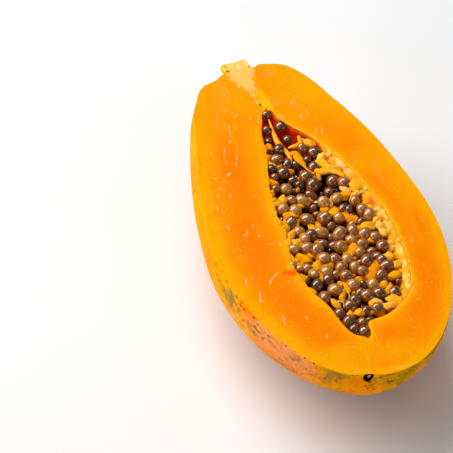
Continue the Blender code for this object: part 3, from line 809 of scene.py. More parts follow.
heap = {
    "depth": 0.0034, "rise": 0.0006, "sinkAtRightWall": 0.0016, "layerDrop": 0.0036,
    "coreDrop": 0.0070, "wallGap": 0.0006, "columns": 90, "turns": 44,
    "radius": 0.00272, "radiusSpread": 0.08, "spacing": 0.90, "draw": 23, "tries": 3000, "shownShare": 1.17,
    "stretch": 1.08, "stretchRange": (-0.06, 0.24), "shrink": 1.03, "highest": 0.0008,
    "tone": 0.62, "toneSpread": 0.24, "tipsDarker": 0.46, "lowerDarker": 0.5,
    "topDetail": (14, 9), "lowDetail": (8, 6), "fillFrom": -0.0480, "fillTo": 0.0480,
    # Seeds that the photograph shows: column, row and width in its pixels, and depth in mm
    "shown": [
        (266.0, 115.8, 9.4, 2.0), (280.8, 126.6, 11.6, 2.6), (267.3, 131.0, 9.6, 2.4),
        (268.0, 141.5, 8.4, 3.6), (287.3, 140.5, 10.0, 4.2), (279.0, 149.0, 11.4, 2.6),
        (269.3, 151.8, 8.2, 3.8), (275.4, 160.0, 11.4, 2.8), (302.8, 148.8, 9.8, 3.0),
        (314.6, 152.6, 10.8, 3.0), (303.8, 141.0, 6.8, 4.2), (306.8, 160.4, 9.0, 4.6),
        (316.6, 163.2, 7.6, 4.8), (287.0, 164.5, 10.4, 4.4), (295.6, 165.5, 9.0, 5.0),
        (271.8, 168.6, 9.8, 3.0), (283.0, 172.8, 11.6, 3.0), (274.0, 178.0, 8.6, 3.6),
        (293.0, 180.7, 8.6, 4.2), (299.6, 184.8, 9.2, 4.4), (306.0, 176.6, 11.8, 2.8),
        (312.9, 184.6, 12.4, 2.8), (332.4, 181.5, 11.8, 3.8), (343.5, 182.8, 12.4, 3.2),
        (328.6, 192.2, 9.4, 4.6), (286.2, 189.6, 12.0, 3.2), (275.5, 189.2, 10.0, 3.0),
        (295.3, 191.6, 7.0, 5.6), (291.0, 200.6, 9.9, 3.2), (302.6, 201.8, 11.6, 3.6),
        (324.0, 202.9, 11.9, 3.0), (337.0, 198.2, 10.8, 3.0), (312.9, 208.8, 7.2, 5.2),
        (282.4, 209.8, 10.8, 2.8), (295.4, 211.2, 12.4, 3.2), (306.4, 219.6, 12.2, 3.2),
        (324.4, 217.5, 13.8, 2.8), (338.9, 218.2, 10.8, 3.0), (342.8, 209.0, 8.8, 4.2),
        (291.0, 222.8, 12.0, 2.6), (299.2, 232.0, 10.8, 3.0), (311.7, 235.0, 11.8, 3.0),
        (321.4, 232.0, 12.0, 2.8), (331.2, 226.2, 8.4, 4.8), (339.7, 233.2, 13.0, 2.6),
        (304.8, 238.6, 10.6, 2.8), (330.4, 238.0, 7.4, 5.0), (307.2, 248.0, 12.8, 2.6),
        (322.8, 243.8, 9.0, 4.0), (293.0, 249.2, 11.0, 2.4), (317.2, 249.6, 12.4, 2.8),
        (333.8, 245.6, 8.8, 3.8), (341.2, 246.0, 12.8, 2.4), (323.2, 257.4, 12.6, 2.5),
        (334.4, 259.2, 11.4, 2.9), (347.4, 259.2, 11.0, 2.8), (292.6, 264.6, 7.8, 2.0),
        (299.5, 268.8, 8.0, 3.2), (307.5, 268.8, 9.6, 3.0), (313.8, 274.0, 10.2, 2.8),
        (326.8, 269.6, 13.2, 2.5), (341.6, 267.0, 10.9, 2.8), (306.8, 280.3, 6.6, 3.6),
        (317.3, 285.0, 10.2, 2.6), (328.5, 280.0, 9.8, 3.2), (336.2, 275.0, 8.8, 3.8),
        (346.2, 276.4, 12.4, 2.6), (335.0, 289.4, 12.8, 2.6), (348.4, 209.4, 8.6, 4.4),
        (354.7, 202.2, 10.4, 4.0), (363.6, 210.4, 12.0, 3.0), (369.6, 214.8, 12.0, 2.8),
        (361.0, 221.8, 8.6, 2.8), (351.6, 225.8, 7.6, 3.8), (352.4, 230.4, 11.0, 3.0),
        (364.6, 233.8, 12.2, 2.8), (351.2, 240.0, 10.4, 3.2), (376.5, 238.0, 11.6, 3.0),
        (362.8, 244.2, 11.0, 3.2), (382.4, 245.3, 11.7, 2.8), (360.0, 252.2, 10.2, 3.0),
        (371.2, 251.8, 8.6, 3.8), (377.0, 256.4, 9.0, 3.4), (367.2, 259.2, 13.0, 2.4),
        (381.6, 260.0, 9.8, 3.0), (387.0, 265.0, 11.6, 2.7), (354.6, 268.0, 10.4, 3.6),
        (363.2, 271.5, 10.4, 3.0), (381.7, 276.5, 11.8, 3.0), (353.2, 285.0, 12.2, 2.7),
        (364.3, 286.0, 8.6, 4.0), (373.0, 284.2, 11.4, 2.8), (360.6, 292.8, 9.6, 3.0),
        (367.8, 295.6, 13.2, 2.6), (379.0, 293.2, 12.6, 2.6), (354.9, 299.8, 11.6, 2.8),
        (394.7, 291.6, 11.2, 2.8), (325.0, 296.9, 11.6, 2.3), (349.9, 305.8, 12.0, 2.6),
        (366.8, 310.3, 9.0, 3.6), (378.7, 309.0, 12.4, 2.8), (390.4, 309.2, 7.0, 2.8),
        (339.5, 313.5, 10.4, 2.8), (348.2, 321.6, 10.6, 2.6), (362.9, 322.8, 10.4, 3.0),
        (353.8, 329.8, 9.6, 3.0), (365.6, 332.0, 11.6, 2.6), (342.0, 285.0, 6.0, 4.2),
        (359.6, 262.8, 6.4, 4.2), (399.0, 281.5, 6.0, 4.0),
    ],
    # Gaps where the heap opens onto the dark: column, row, radius in pixels
    "gaps": [(299, 170, 6), (315, 159, 3.5), (306, 190, 9), (321, 186, 6), (309, 211, 8), (326, 250, 4),
             (309, 262, 3.5), (358, 317, 6), (391, 282, 5), (352, 196, 3), (347, 200, 3), (290, 186, 3),
             (280, 217, 4), (304, 228, 2), (285, 160, 2), (314, 222, 3), (327, 291, 2), (345, 294, 3),
             (374, 247, 3), (283, 133, 9), (295, 150, 9)],
}


pulp = {
    "draw": 5,
    # Chunks of pulp left between the seeds: column, row, depth in mm, length, width (pixels), angle, tone
    "chunks": [
        (267.6, 158, 1.2, 8, 7, 70, 0.12), (272, 164.8, 1.0, 9, 3.4, -28, 0.5),
        (269.2, 146.6, 1.0, 8, 4, -40, 0.2), (265.0, 150, 0.7, 9, 4, 80, 0.25),
        (309, 142.5, 1.4, 13, 5, -30, 0.55), (321.4, 156.6, 1.6, 7, 6.5, 60, 0.85),
        (324, 163.5, 1.6, 13, 7, -25, 0.5), (332, 168, 1.4, 18, 7, -12, 0.5),
        (357, 185.5, 1.4, 15, 9, -42, 0.5), (345, 188.8, 1.6, 10, 3.6, -15, 0.95),
        (346.5, 193.5, 2.6, 11, 8, 45, 0.3), (356, 193, 1.4, 8, 4, 30, 0.85),
        (331, 201.5, 3.0, 10, 4, 85, 0.6), (334.2, 211.5, 2.8, 9, 6.5, -35, 0.4),
        (348, 217.5, 4.0, 14, 7, -55, 0.25), (354, 219, 4.4, 11, 8, -40, 0.2),
        (367.5, 225, 1.8, 15, 7.5, -12, 0.5), (378, 218.8, 1.4, 8, 6, 40, 0.55),
        (312.4, 227, 3.0, 11, 5, -48, 0.5), (352.8, 248.4, 2.8, 12, 9, 65, 0.45),
        (389.6, 255.6, 1.8, 12, 7, -20, 0.5), (303.8, 257.6, 2.0, 14, 7, -28, 0.3),
        (318, 265.6, 2.6, 10, 8, -15, 0.35), (375.4, 265, 2.8, 10, 8, 80, 0.25),
        (371.5, 273.5, 3.8, 15, 15, 60, 0.15), (397, 264, 1.6, 11, 6, 0, 0.5),
        (393.8, 274.6, 1.8, 13, 6, 15, 0.4), (359, 279, 2.8, 7, 5, 0, 0.4),
        (347.2, 287.5, 2.2, 9, 4.5, -65, 0.4), (343.0, 294.8, 2.4, 11, 6, 78, 0.45),
        (335.6, 303, 1.6, 12, 5, -40, 0.45), (350.3, 314.2, 1.8, 7, 5.5, 75, 0.4),
        (359.6, 311.8, 2.4, 9, 7, 20, 0.5), (383.4, 284.4, 2.6, 9, 6, 20, 0.5),
        (388.4, 289.2, 2.2, 11, 5, 50, 0.5), (378, 301.2, 1.6, 11, 5, -20, 0.7),
        (396, 300, 1.0, 18, 9, -30, 0.5), (389, 304.6, 0.9, 13, 6, 10, 0.6),
        (271.5, 200.5, 0.8, 12, 7, 0, 0.4), (283.2, 199.4, 1.2, 8, 7, 60, 0.5),
        (277.5, 203.5, 1.2, 12, 6, 10, 0.4), (277.8, 224, 0.9, 12, 9, -30, 0.35),
        (284.4, 227.5, 1.2, 10, 7, 30, 0.35), (290.6, 235.4, 1.6, 12, 6, 62, 0.55),
        (283.5, 236, 0.8, 12, 8, 80, 0.4), (297, 242.6, 2.0, 11, 8, -15, 0.6),
        (287.5, 244.5, 0.8, 12, 8, 75, 0.5), (290, 256.5, 0.9, 12, 6, -50, 0.35),
        (294.8, 260.6, 1.1, 10, 5, -12, 0.5), (299.2, 263.3, 1.8, 8, 6, -30, 0.4),
        (298, 276, 1.0, 9, 5, -60, 0.3), (321.5, 278, 2.4, 8, 5, 90, 0.5),
        (291.0, 215.6, 2.2, 14, 6, 5, 0.4), (285.4, 222.5, 2.0, 9, 5, 85, 0.4),
        (297.0, 223.5, 2.6, 9, 4, 70, 0.35), (272.0, 182.0, 1.4, 13, 4.6, -22, 0.3),
        (271.0, 193.5, 1.0, 8, 6, 60, 0.3), (360.5, 228.0, 3.2, 8, 6, 30, 0.4),
        (371.0, 239.5, 3.0, 8, 5, -20, 0.45), (357.5, 235.0, 3.4, 8, 5, -40, 0.35),
        (330.5, 264.5, 3.4, 7, 6, 20, 0.3), (346.8, 250.6, 3.2, 8, 5, 60, 0.3),
        (318.0, 241.8, 3.4, 6, 5, 20, 0.3), (341.0, 284.0, 3.4, 9, 6, 20, 0.25),
        (303.0, 277.5, 1.8, 8, 5, -60, 0.35), (312.5, 290.5, 1.4, 9, 4, -42, 0.4),
        (328.6, 308.6, 1.4, 9, 4, -45, 0.35), (372.8, 302.5, 2.4, 8, 6, 80, 0.5),
        (355.0, 291.5, 3.4, 7, 5, 60, 0.3), (279.5, 166.0, 3.4, 8, 5, 70, 0.2),
        (290.5, 171.5, 3.8, 7, 5, 10, 0.2), (325.0, 209.6, 3.2, 8, 5, 10, 0.3),
        (317.6, 225.5, 3.4, 7, 5, -60, 0.35), (380.5, 224.5, 1.2, 9, 6, -40, 0.75),
        (382.5, 230.5, 1.6, 9, 5, -60, 0.8), (301.5, 246.5, 2.6, 6, 6, 80, 0.4),
        (310.5, 255.6, 3.2, 8, 5, -20, 0.3),
    ],
    # Strands and flaps: their tone, flatness and (column, row, depth, half width) along them
    "strands": [
        (0.52, 0.6, [(268.5, 119, 1.0, 1.0), (271.5, 127, 1.6, 1.4), (275, 137, 1.8, 2.4),
                     (279, 144.5, 2.0, 3.0), (285.5, 151, 2.2, 2.6), (289.5, 156, 2.4, 2.4),
                     (291.5, 164, 3.0, 1.4)]),
        (0.45, 0.6, [(298, 135.5, 0.8, 1.7), (299.5, 139, 1.4, 2.2), (300.3, 142.5, 1.8, 2.6),
                     (297.5, 145.5, 2.0, 2.8), (292, 147, 2.0, 2.4), (288, 148.3, 2.0, 1.2)]),
        (0.30, 0.35, [(290, 153.5, 1.8, 3.0), (295, 154, 2.2, 4.4), (299, 159, 2.6, 4.6),
                      (302.5, 163.5, 2.8, 3.2), (306, 168, 3.0, 1.2), (310.5, 171.8, 2.9, 1.1),
                      (315, 173.5, 2.4, 1.6)]),
        (0.45, 0.4, [(314.5, 169.5, 2.2, 3.2), (320, 171.5, 2.0, 4.4), (327, 170.5, 1.7, 4.8),
                     (334, 171, 1.4, 4.0), (340, 173.5, 1.0, 3.0), (345, 176, 0.7, 2.4)]),
        (0.45, 0.5, [(318, 173, 2.2, 2.5), (319, 178, 2.8, 2.6), (320.3, 180.6, 3.2, 1.4)]),
        (0.90, 0.9, [(352, 194, 1.0, 0.8), (350.8, 198, 1.6, 0.7), (349, 201.5, 2.2, 0.6)]),
        (0.80, 0.9, [(340, 301, 1.5, 0.45), (343.5, 303, 1.3, 0.45), (344, 308, 1.8, 0.45)]),
        (0.80, 0.9, [(346, 291, 2.0, 0.45), (349, 294, 1.2, 0.45), (349, 299, 1.8, 0.45)]),
    ],
    "fringe": 26, "fringeHalfWidth": 0.00030, "extraBits": 40, "crumbs": 78, "highest": 0.0003,
}


def heapHeight(x, y):
    left, right = cavityEdges(y)
    share = max(0.0, min(1.0, (x - left) / max(1e-6, right - left)))
    height = -heap["depth"] + heap["rise"] * math.sin(math.pi * share)
    height -= heap["sinkAtRightWall"] * smoothStep(0.70, 1.0, share)
    return height + 0.0011 * noise.noise(Vector((x * 120, y * 120, 2.5)))


def addSeed(bm, layers, spot, radius, detail, draw):
    toneLayer, coreLayer, underGlowLayer, deepLayer = layers
    verts = bmesh.ops.create_uvsphere(bm, u_segments=detail[0], v_segments=detail[1], radius=1.0)["verts"]
    stretch = heap["stretch"] + draw.uniform(*heap["stretchRange"])
    radius /= heap["shrink"]
    spot = Vector((spot.x, spot.y, min(spot.z, heap["highest"] - radius * stretch)))
    pointed = max(0.0, draw.uniform(-0.5, 0.35))
    axis = Vector((draw.uniform(-1, 1), draw.uniform(-1, 1), draw.uniform(-0.8, 0.8))).normalized()
    turned = axis.to_track_quat("Z", "Y").to_matrix() @ Matrix.Rotation(draw.uniform(0, turn), 3, "Z")
    coreWay = (towardCamera + 0.55 * imageRight - 0.35 * imageUp).normalized()
    coreWay = (coreWay + Vector([draw.uniform(-0.35, 0.35) for _ in range(3)])).normalized()
    # Seeds lower in the heap get a darker tone, painted shade; seeds toward the cavity's tips are darker too
    tips = smoothStep(0.025, 0.060, spot.y) + smoothStep(-0.018, -0.042, spot.y)
    tone = draw.gauss(heap["tone"], heap["toneSpread"]) - heap["tipsDarker"] * tips
    tone = max(0.0, min(1.0, tone - heap["lowerDarker"] * smoothStep(0.0034, 0.0050, -spot.z)))
    stretch *= 1.0 if detail == heap["topDetail"] else 1.1
    deep = smoothStep(0.0040, 0.0100, -spot.z)
    for vert in verts:
        shape = vert.co.copy()
        narrow = 1 - 0.30 * pointed * max(0.0, shape.z)
        point = 0.5 * pointed * max(0.0, shape.z) ** 4
        shape = Vector((shape.x * narrow, shape.y * narrow * 0.96, shape.z * stretch + point))
        shape = turned @ shape
        shape *= radius * (1 + 0.045 * noise.noise(shape * 1.3 + spot * 900))
        way = shape.normalized()
        vert.co = spot + shape
        vert[toneLayer] = tone
        vert[coreLayer] = smoothStep(0.35, 0.85, way.dot(coreWay))
        # The lower side of each seed, for a painted orange glow of light from the pulp through the gel
        vert[underGlowLayer] = smoothStep(0.18, -0.50, way.z + 0.35 * way.y)
        vert[deepLayer] = deep


def seedSpots(draw):
    # Shown seeds first, then the heap's top layer and two more that show only through its gaps
    kept = []
    pixel = (photoSpot(331, 230, 0) - photoSpot(330, 230, 0)).dot(imageRight)
    for column, row, width, depth in heap["shown"]:
        kept.append((photoSpot(column, row, -depth / 1000), 0.5 * heap["shownShare"] * width * pixel, 0))

    def pixelOf(spot):
        line = spot + layDown - cameraPlace
        away = -line.dot(towardCamera)
        middle = view["pixels"] / 2
        return (middle + focalPixels * line.dot(imageRight) / away,
                middle - focalPixels * line.dot(imageUp) / away)

    def near(column, row, other, reach):
        return math.hypot(column - other[0], row - other[1]) < reach

    for layer in range(3):
        low, high = heap["fillFrom"] - 0.003 * layer, heap["fillTo"] + 0.006 * layer
        for _ in range(heap["tries"]):
            y = draw.uniform(low, high)
            left, right = cavityEdges(y)
            radius = heap["radius"] * draw.gauss(1.0, heap["radiusSpread"])
            if right - left < 2.4 * radius:
                continue
            x = draw.uniform(left + 1.12 * radius, right - 1.12 * radius - cavity["ledge"] * tornShare(y))
            z = heapHeight(x, y) - heap["layerDrop"] * layer + draw.uniform(-0.0009, 0.0009)
            spot = Vector((x, y, z))
            column, row = pixelOf(spot)
            if layer < 2 and any(near(column, row, gap, gap[2] - 1.5 * layer) for gap in heap["gaps"]):
                continue
            if layer == 0 and any(near(column, row, chunk, 3 + 0.3 * chunk[3]) for chunk in pulp["chunks"]):
                continue
            loose = 1.12 if layer == 0 else heap["spacing"]
            if all((spot - other).length > loose * (radius + size) for other, size, _ in kept):
                kept.append((spot, radius, layer))
    return kept


def buildSeeds(spots, lowest, highest, detail, draw):
    bm = bmesh.new()
    layers = [bm.verts.layers.float.new(name) for name in ("seedTone", "seedCore", "seedUnderGlow", "seedDeep")]
    for spot, radius, layer in spots:
        if lowest <= layer <= highest:
            addSeed(bm, layers, spot, radius, detail, draw)
    return bm


# A body below the heap whose near-black colour is painted shade, seen through the gaps between the seeds
def buildCore():
    bm = bmesh.new()

    def place(along, around):
        y = cavityY(stationAt(along))
        left, right = cavityEdges(y)
        angle = turn * around
        spot = cavityPoint(stationAt(along), min(angle, math.pi))
        gap = min(heap["wallGap"], 0.3 * cavityDepth(y))
        middle, half = (left + right) / 2, max(0.0, (right - left) / 2 - heap["wallGap"])
        if angle > math.pi:
            spot.x = middle + half * math.cos(angle)
        spot.x = max(middle - half, min(middle + half, spot.x))
        sink = 0.0050 * smoothStep(0.046, 0.060, y)
        top = heapHeight(spot.x, y) - heap["coreDrop"] - sink + 0.0012 * noise.noise(spot * 330)
        top = max(top, gap - cavityDepth(y))
        spot.z = min(top, spot.z + gap) if angle <= math.pi else top
        return spot, ()

    gridPiece(bm, heap["columns"], heap["turns"], place, 0, ())
    closeUp(bm, mergeReach)
    return bm


# Painted shade: near black, turning red toward the stem end
def shadeCoreMaterial():
    material, tree, surface, place = newMaterial("paintedShadeCore")
    clotted = noiseValue(tree, place, 300, detail=4, roughness=0.6)
    colour = ramp(tree, clotted, [(0.40, srgb(14, 3, 0)), (0.62, srgb(44, 13, 0)), (0.75, srgb(110, 44, 0))])
    stemEnd = between(tree, coordinate(tree, place, "Y"), 0.046, 0.060)
    colour = tinted(tree, colour, srgb(255, 26, 0), stemEnd, 0.95)
    paint(tree, surface, colour, 0.6, 0.04)
    bumped(tree, surface, clotted, 0.001, 0.8)
    return material


seedColours = {
    "dark": srgb(112, 56, 0), "middle": srgb(172, 98, 12), "light": srgb(208, 142, 52),
    "core": srgb(34, 8, 0), "fringe": srgb(212, 112, 2), "shade": srgb(26, 7, 0),
}


def seedMaterial():
    material, tree, surface, place = newMaterial("gelCoatedSeed")
    mottle = noiseValue(tree, place, 700, detail=4, roughness=0.6)
    wrinkle = noiseValue(tree, place, 1300, detail=3, roughness=0.65, distortion=1.0)
    tone = swayed(tree, attributeValue(tree, "seedTone"), mottle, 1.5)
    dark, middle, light = (seedColours[name] for name in ("dark", "middle", "light"))
    colour = ramp(tree, tone, [(0.1, dark), (0.5, middle), (0.9, light)])
    core = times(tree, attributeValue(tree, "seedCore"), ramp(tree, wrinkle, [(0.38, 0.25), (0.60, 1.0)]))
    core = times(tree, core, between(tree, attributeValue(tree, "seedTone"), 0.80, 0.30, 0.25, 1.0))
    colour = mixed(tree, core, colour, seedColours["core"])
    # Painted glow: an orange tint on each seed's lower side, light from the pulp seen through the gel
    fringe = times(tree, attributeValue(tree, "seedUnderGlow"), 0.8)
    colour = mixed(tree, fringe, colour, seedColours["fringe"])
    colour = tinted(tree, colour, seedColours["shade"], attributeValue(tree, "seedDeep"), 0.9)
    paint(tree, surface, colour, 0.4, 0.05)
    surface.inputs["Coat Weight"].default_value = 1.0
    surface.inputs["Coat Roughness"].default_value = 0.03
    surface.inputs["Coat IOR"].default_value = 1.98
    bumped(tree, surface, wrinkle, 0.00026, 0.4)
    return material


seedDraw = random.Random(heap["draw"])
spots = seedSpots(seedDraw)
print("seeds in layers:", [sum(1 for spot in spots if spot[2] == layer) for layer in range(3)])
seedSurface = seedMaterial()
# The seed core's near-black colour is painted shade under the heap
addPiece("seedCore", buildCore(), [shadeCoreMaterial()], "seed_heap")
topSeeds = buildSeeds(spots, 0, 0, heap["topDetail"], seedDraw)
addPiece("topSeeds", topSeeds, [seedSurface], "seed_heap")
lowerSeeds = buildSeeds(spots, 1, 2, heap["lowDetail"], seedDraw)
addPiece("lowerSeeds", lowerSeeds, [seedSurface], "seed_heap")


def addChunk(bm, layer, spot, length, width, thick, along, tone, detail=3):
    made = bmesh.ops.create_icosphere(bm, subdivisions=detail, radius=0.5)
    along = along.normalized()
    side = Vector((0, 0, 1)).cross(along).normalized()
    upright = along.cross(side)
    for vert in made["verts"]:
        shape = vert.co.copy()
        lumpy = 1 + 0.42 * noise.noise(shape * 2.6 + spot * 700)
        lumpy += 0.16 * noise.noise(shape * 6.5 + spot * 500)
        shape *= lumpy
        vert.co = spot + along * shape.x * length + side * shape.y * width + upright * shape.z * thick
        vert.co.z -= 0.65 * max(0.0, vert.co.z - pulp["highest"])
        vert[layer] = tone + 0.12 * shape.z


def pathPoint(points, share):
    # A smooth curve through points of any length, by Catmull and Rom's rule
    run = share * (len(points) - 1)
    index = min(int(run), len(points) - 2)
    step = run - index
    a, b, c, d = (points[max(0, min(len(points) - 1, index + shift))] for shift in (-1, 0, 1, 2))
    parts = []
    for first, second, third, fourth in zip(a, b, c, d):
        bend = 2 * first - 5 * second + 4 * third - fourth
        last = 3 * second - first - 3 * third + fourth
        parts.append(0.5 * (2 * second + (third - first) * step + bend * step**2 + last * step**3))
    return parts


def addStrand(bm, layer, points, tone, flat, columns=26, turns=9, rough=0.12):
    # Points are (x, y, z, half width): a closed strand, flattened to its share of the width
    def place(along, around):
        x, y, z, half = pathPoint(points, along)
        ahead = Vector(pathPoint(points, min(1.0, along + 0.02))[:3])
        way = (ahead - Vector(pathPoint(points, max(0.0, along - 0.02))[:3])).normalized()
        side = way.cross(Vector((0, 0, 1))).normalized()
        upright = side.cross(way)
        closing = math.sqrt(max(0.0, 1 - abs(2 * along - 1) ** 8))
        angle = turn * around
        bumpy = noise.noise(Vector((x, y, z)) * 800 + Vector((math.cos(angle), math.sin(angle), 0)))
        half *= closing * (1 + rough * 2 * bumpy)
        spot = Vector((x, y, z)) + half * (math.cos(angle) * side + flat * math.sin(angle) * upright)
        return spot, (tone + 0.1 * math.sin(angle),)

    gridPiece(bm, columns, turns, place, 0, (layer,))


def buildPulp():
    bm = bmesh.new()
    layer = bm.verts.layers.float.new("pulpTone")
    draw = random.Random(pulp["draw"])
    for column, row, depth, length, width, angle, tone in pulp["chunks"]:
        height = -depth / 1000
        spot = photoSpot(column, row, height)
        across, down = math.cos(math.radians(angle)), math.sin(math.radians(angle))
        along = photoSpot(column + across, row - down, height) - spot
        sideways = photoSpot(column + down, row + across, height) - spot
        thick = 0.6 * min(length * along.length, width * sideways.length)
        addChunk(bm, layer, spot - Vector((0, 0, 0.3 * thick)), 1.15 * length * along.length,
                 1.15 * width * sideways.length, 1.3 * thick, along, tone)
    for tone, flat, points in pulp["strands"]:
        pixel = (photoSpot(330, 230, 0) - photoSpot(331, 230, 0)).length
        path = [(*photoSpot(column, row, -depth / 1000), half * pixel) for column, row, depth, half in points]
        addStrand(bm, layer, path, tone, flat)
    for _ in range(pulp["extraBits"]):
        y = draw.uniform(-0.048, 0.046)
        left, right = cavityEdges(y)
        x = draw.uniform(left + 0.004, right - 0.004)
        spot = Vector((x, y, heapHeight(x, y) - draw.uniform(0.0006, 0.0030)))
        along = Vector((draw.uniform(-1, 1), draw.uniform(-1, 1), draw.uniform(-0.3, 0.3)))
        size = draw.uniform(0.0016, 0.0034)
        addChunk(bm, layer, spot, size * 1.5, size, size * 0.9, along, draw.uniform(0.1, 0.5), 2)
    closeUp(bm, mergeReach / 2)
    return bm


def buildFringe():
    # Torn fibres hanging down the cavity's right wall, and a few short ones on the left
    bm = bmesh.new()
    layer = bm.verts.layers.float.new("pulpTone")
    draw = random.Random(pulp["draw"] + 1)
    for number in range(pulp["fringe"]):
        onRight = number % 5 > 0
        y = draw.uniform(-0.046, 0.056) if onRight else draw.uniform(-0.044, 0.050)
        left, right = cavityEdges(y)
        edge, inward = (right, -1.0) if onRight else (left, 1.0)
        fall = draw.uniform(0.0018, 0.0046) if onRight else draw.uniform(0.0010, 0.0022)
        lean = draw.uniform(-0.0022, 0.0022)
        reach = draw.uniform(0.0002, 0.0016)
        half = pulp["fringeHalfWidth"] * draw.uniform(0.7, 1.9)
        points = [
            (edge - inward * 0.0006, y, -0.0004, half * 0.8),
            (edge + inward * 0.0003, y + 0.3 * lean, -0.0008, half),
            (edge + inward * (0.0004 + 0.5 * reach), y + 0.7 * lean, -0.5 * fall, half),
            (edge + inward * (0.0004 + reach), y + lean, -fall, half * 0.6),
        ]
        addStrand(bm, layer, points, draw.uniform(0.45, 1.0), 0.7, 12, 7, 0.25)

    # Lumps of it along the torn ledge, and some larger yellow tabs that reach in over the seeds
    for number in range(pulp["crumbs"]):
        tab = number % 3 == 0
        y = draw.uniform(-0.047, 0.054)
        left, right = cavityEdges(y)
        share = draw.uniform(0.9, 1.25) if tab else draw.uniform(0.1, 1.0)
        size = draw.uniform(0.0025, 0.0042) if tab else draw.uniform(0.0010, 0.0024)
        spot = Vector((right - share * cavity["ledge"], y, -0.0004 - 0.0030 * share))
        along = Vector((-1, draw.uniform(-0.8, 0.8), -0.3)) if tab else Vector((draw.uniform(-1, 0.3), 1, 0))
        tone = draw.uniform(0.35, 0.6) if tab else draw.uniform(0.5, 1.0)
        addChunk(bm, layer, spot, size * 1.5, size, size * 0.8, along, tone, 2)
    closeUp(bm, mergeReach / 2)
    return bm


pulpColours = {
    "orange": srgb(255, 138, 0), "yellow": srgb(255, 172, 0),
    "pale": srgb(255, 204, 96), "deep": srgb(255, 96, 0),
}


def pulpMaterial():
    material, tree, surface, place = newMaterial("moistPulp")
    streaky = noiseValue(tree, place, 480, detail=4, roughness=0.6)
    tone = swayed(tree, attributeValue(tree, "pulpTone"), streaky, 0.7)
    orange, yellow, pale = (pulpColours[name] for name in ("orange", "yellow", "pale"))
    colour = ramp(tree, tone, [(0.08, orange), (0.48, yellow), (0.95, pale)])
    # Painted shade: pulp lower in the cavity turns a deeper red-orange
    deep = between(tree, coordinate(tree, place, "Z"), layDown.z - 0.0030, layDown.z - 0.0072)
    colour = tinted(tree, colour, pulpColours["deep"], deep, 0.85)
    paint(tree, surface, colour, 0.35, 0.03)
    bumped(tree, surface, streaky, 0.0004, 0.5)
    return material


pulpSurface = pulpMaterial()
addPiece("pulpShreds", buildPulp(), [pulpSurface], "seed_heap")
addPiece("wallFibres", buildFringe(), [pulpSurface], "seed_heap")


# The stub of the stalk, cut along with the fruit: its outline in the photograph as column and row
stub = {
    "outline": [(240, 79), (230.5, 78), (226.5, 74.0), (224.4, 70), (222.4, 66.4), (224.4, 64.4),
                (230, 63.5), (235, 62.2), (240, 60.5), (244.2, 59.6), (247, 61.8), (248.6, 64.6),
                (250.6, 67.2), (250.6, 73)],
    "depth": 0.0072, "rings": 26, "turns": 96, "ragged": 0.0003, "sinkFrom": 0.1125, "sink": 0.0007,
    "knob": (224.2, 69.4), "knobSize": (0.0036, 0.0052, 0.0046), "knobDepth": 0.0020,
    "shadedCreases": [(227.8, 71.6, (0.8, 1.0, 0.3)), (223.6, 74.4, (0.6, 1.4, 0.3)),
                (249.8, 66.9, (1.4, 0.7, 0.3))],
}


def buildStub():
    bm = bmesh.new()
    toneLayer = bm.verts.layers.float.new("stubTone")
    outline = [photoSpot(column, row, 0) for column, row in stub["outline"]]
    middle = sum(outline, Vector()) / len(outline)

    def rimPoint(share):
        run = share * len(outline)
        index = int(run) % len(outline)
        near = [tuple(outline[(index + shift) % len(outline)]) for shift in (-1, 0, 1, 2)]
        spot = Vector(pathPoint(near, (1 + run - int(run)) / 3))
        return spot + stub["ragged"] * noise.noise(spot * 900) * (spot - middle).normalized()

    def place(out, around):
        # From the middle of the cut face over its edge and back underneath
        rim = rimPoint(around % 1.0)
        onFace = out <= 0.5
        share = 2 * out if onFace else 2 - 2 * out
        spot = middle.lerp(rim, share if onFace else math.sin(0.5 * math.pi * share))
        raised = 0.00025 * noise.noise(Vector((spot.x * 700, spot.y * 220, 0))) * (1 - share**6)
        # Its face dips under the flesh toward the seeds, so the two run into each other
        sunk = stub["sink"] * smoothStep(stub["sinkFrom"] + 0.0025, stub["sinkFrom"] - 0.001, spot.y)
        spot.z = raised - sunk if onFace else -stub["depth"] * math.cos(0.5 * math.pi * share) - sunk
        return spot, (share if onFace else 1.0,)

    gridPiece(bm, 2 * stub["rings"], stub["turns"], place, 0, (toneLayer,))
    knob = bmesh.ops.create_uvsphere(bm, u_segments=28, v_segments=18, radius=0.5)
    knobPlace = photoSpot(*stub["knob"], -stub["knobDepth"])
    for vert in knob["verts"]:
        shape = vert.co * (1 + 0.14 * noise.noise(vert.co * 4 + Vector((3, 1, 0))))
        vert.co = knobPlace + Vector([a * b for a, b in zip(shape, stub["knobSize"])])
        vert[toneLayer] = -1.0
    closeUp(bm, mergeReach)
    return bm


stubColours = {
    "face": srgb(254, 208, 110), "vein": srgb(246, 190, 78), "pale": srgb(255, 222, 146),
    "edge": srgb(236, 180, 50), "edgeLight": srgb(255, 214, 104),
    "knob": srgb(238, 184, 26), "knobLight": srgb(255, 214, 74), "creaseShade": srgb(120, 74, 4),
}


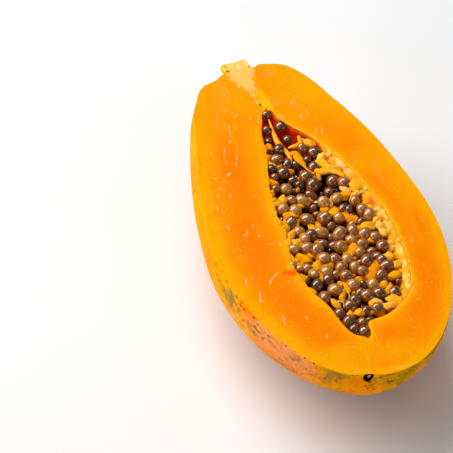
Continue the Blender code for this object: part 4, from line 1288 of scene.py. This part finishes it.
def stubMaterial():
    material, tree, surface, place = newMaterial("cutStalk")
    tone = attributeValue(tree, "stubTone")
    fibres = noiseValue(tree, place, 420, detail=4, roughness=0.6, stretch=(1.2, 0.5, 1.2))
    colours = stubColours
    face = ramp(tree, fibres, [(0.32, colours["vein"]), (0.52, colours["face"]), (0.70, colours["pale"])])
    edge = ramp(tree, fibres, [(0.34, colours["edge"]), (0.60, colours["edgeLight"])])
    colour = mixed(tree, between(tree, tone, 0.72, 0.96), face, edge)
    towardSeeds = between(tree, coordinate(tree, place, "Y"), 0.1175, 0.1130)
    colour = mixed(tree, towardSeeds, colour, fleshColours["pale"])
    blotches = noiseValue(tree, place, 300, detail=3)
    knob = ramp(tree, blotches, [(0.38, colours["knob"]), (0.62, colours["knobLight"])])
    colour = mixed(tree, between(tree, tone, -0.05, -0.5), colour, knob)
    # Painted shade darkening the creases of the stub
    for column, row, stretch in stub["shadedCreases"]:
        creaseShade = nearPoint(tree, place, photoSpot(column, row, 0) + layDown, 0.0002, 0.0013, stretch)
        colour = tinted(tree, colour, colours["creaseShade"], creaseShade, 0.85)
    paint(tree, surface, colour, 0.6, 0.05)
    bumped(tree, surface, fibres, 0.0003, 0.5)
    return material


addPiece("stalkStub", buildStub(), [stubMaterial()], "stem_stub")


# Soft boxes: name, aside, up and toward the camera, distance, width, height, watts
studio = {
    "roomLight": 0.17,
    "lights": [
        ("window", -0.574, 0.738, 0.345, 1.80, 2.74, 0.89, 46.5),
        ("frontFill", -0.75, -0.38, 0.48, 1.6, 1.2, 1.2, 9.5),
        ("overhead", 0.085, 0.678, 0.730, 1.6, 1.4, 1.4, 1.8),
        ("sideFill", 0.85, -0.52, 0.42, 1.6, 1.2, 1.2, 7.0),
    ],
}


def addStudio():
    bm = bmesh.new()
    bmesh.ops.create_grid(bm, x_segments=1, y_segments=1, size=6.0)
    mesh = bpy.data.meshes.new("floor")
    bm.to_mesh(mesh)
    bm.free()
    floor = bpy.data.objects.new("floor", mesh)
    bpy.context.scene.collection.objects.link(floor)
    material, tree, surface, place = newMaterial("paleFloor")
    speckle = noiseValue(tree, place, 8, detail=2)
    paint(tree, surface, ramp(tree, speckle, [(0.3, 0.90), (0.7, 0.94)]), 0.8, 0.1)
    mesh.materials.append(material)

    world = bpy.data.worlds.new("softRoom")
    world.use_nodes = True
    world.node_tree.nodes["Background"].inputs["Color"].default_value = (1.0, 1.0, 1.0, 1.0)
    world.node_tree.nodes["Background"].inputs["Strength"].default_value = studio["roomLight"]
    bpy.context.scene.world = world
    aim = Vector((0.0, 0.01, 0.03))
    for name, aside, up, toward, distance, width, height, power in studio["lights"]:
        direction = (aside * imageRight + up * imageUp + toward * towardCamera).normalized()
        across = direction.cross(towardCamera).normalized()
        light = bpy.data.lights.new(name, "AREA")
        light.shape = "RECTANGLE"
        light.size, light.size_y = width, height
        light.energy = power
        lamp = bpy.data.objects.new(name, light)
        turned = Matrix((across, direction.cross(across), direction)).transposed().to_4x4()
        lamp.matrix_world = Matrix.Translation(aim + distance * direction) @ turned
        bpy.context.scene.collection.objects.link(lamp)
    bpy.context.scene.view_settings.view_transform = "Standard"
    bpy.context.scene.view_settings.look = "None"


addStudio()
print("lights and floor set")
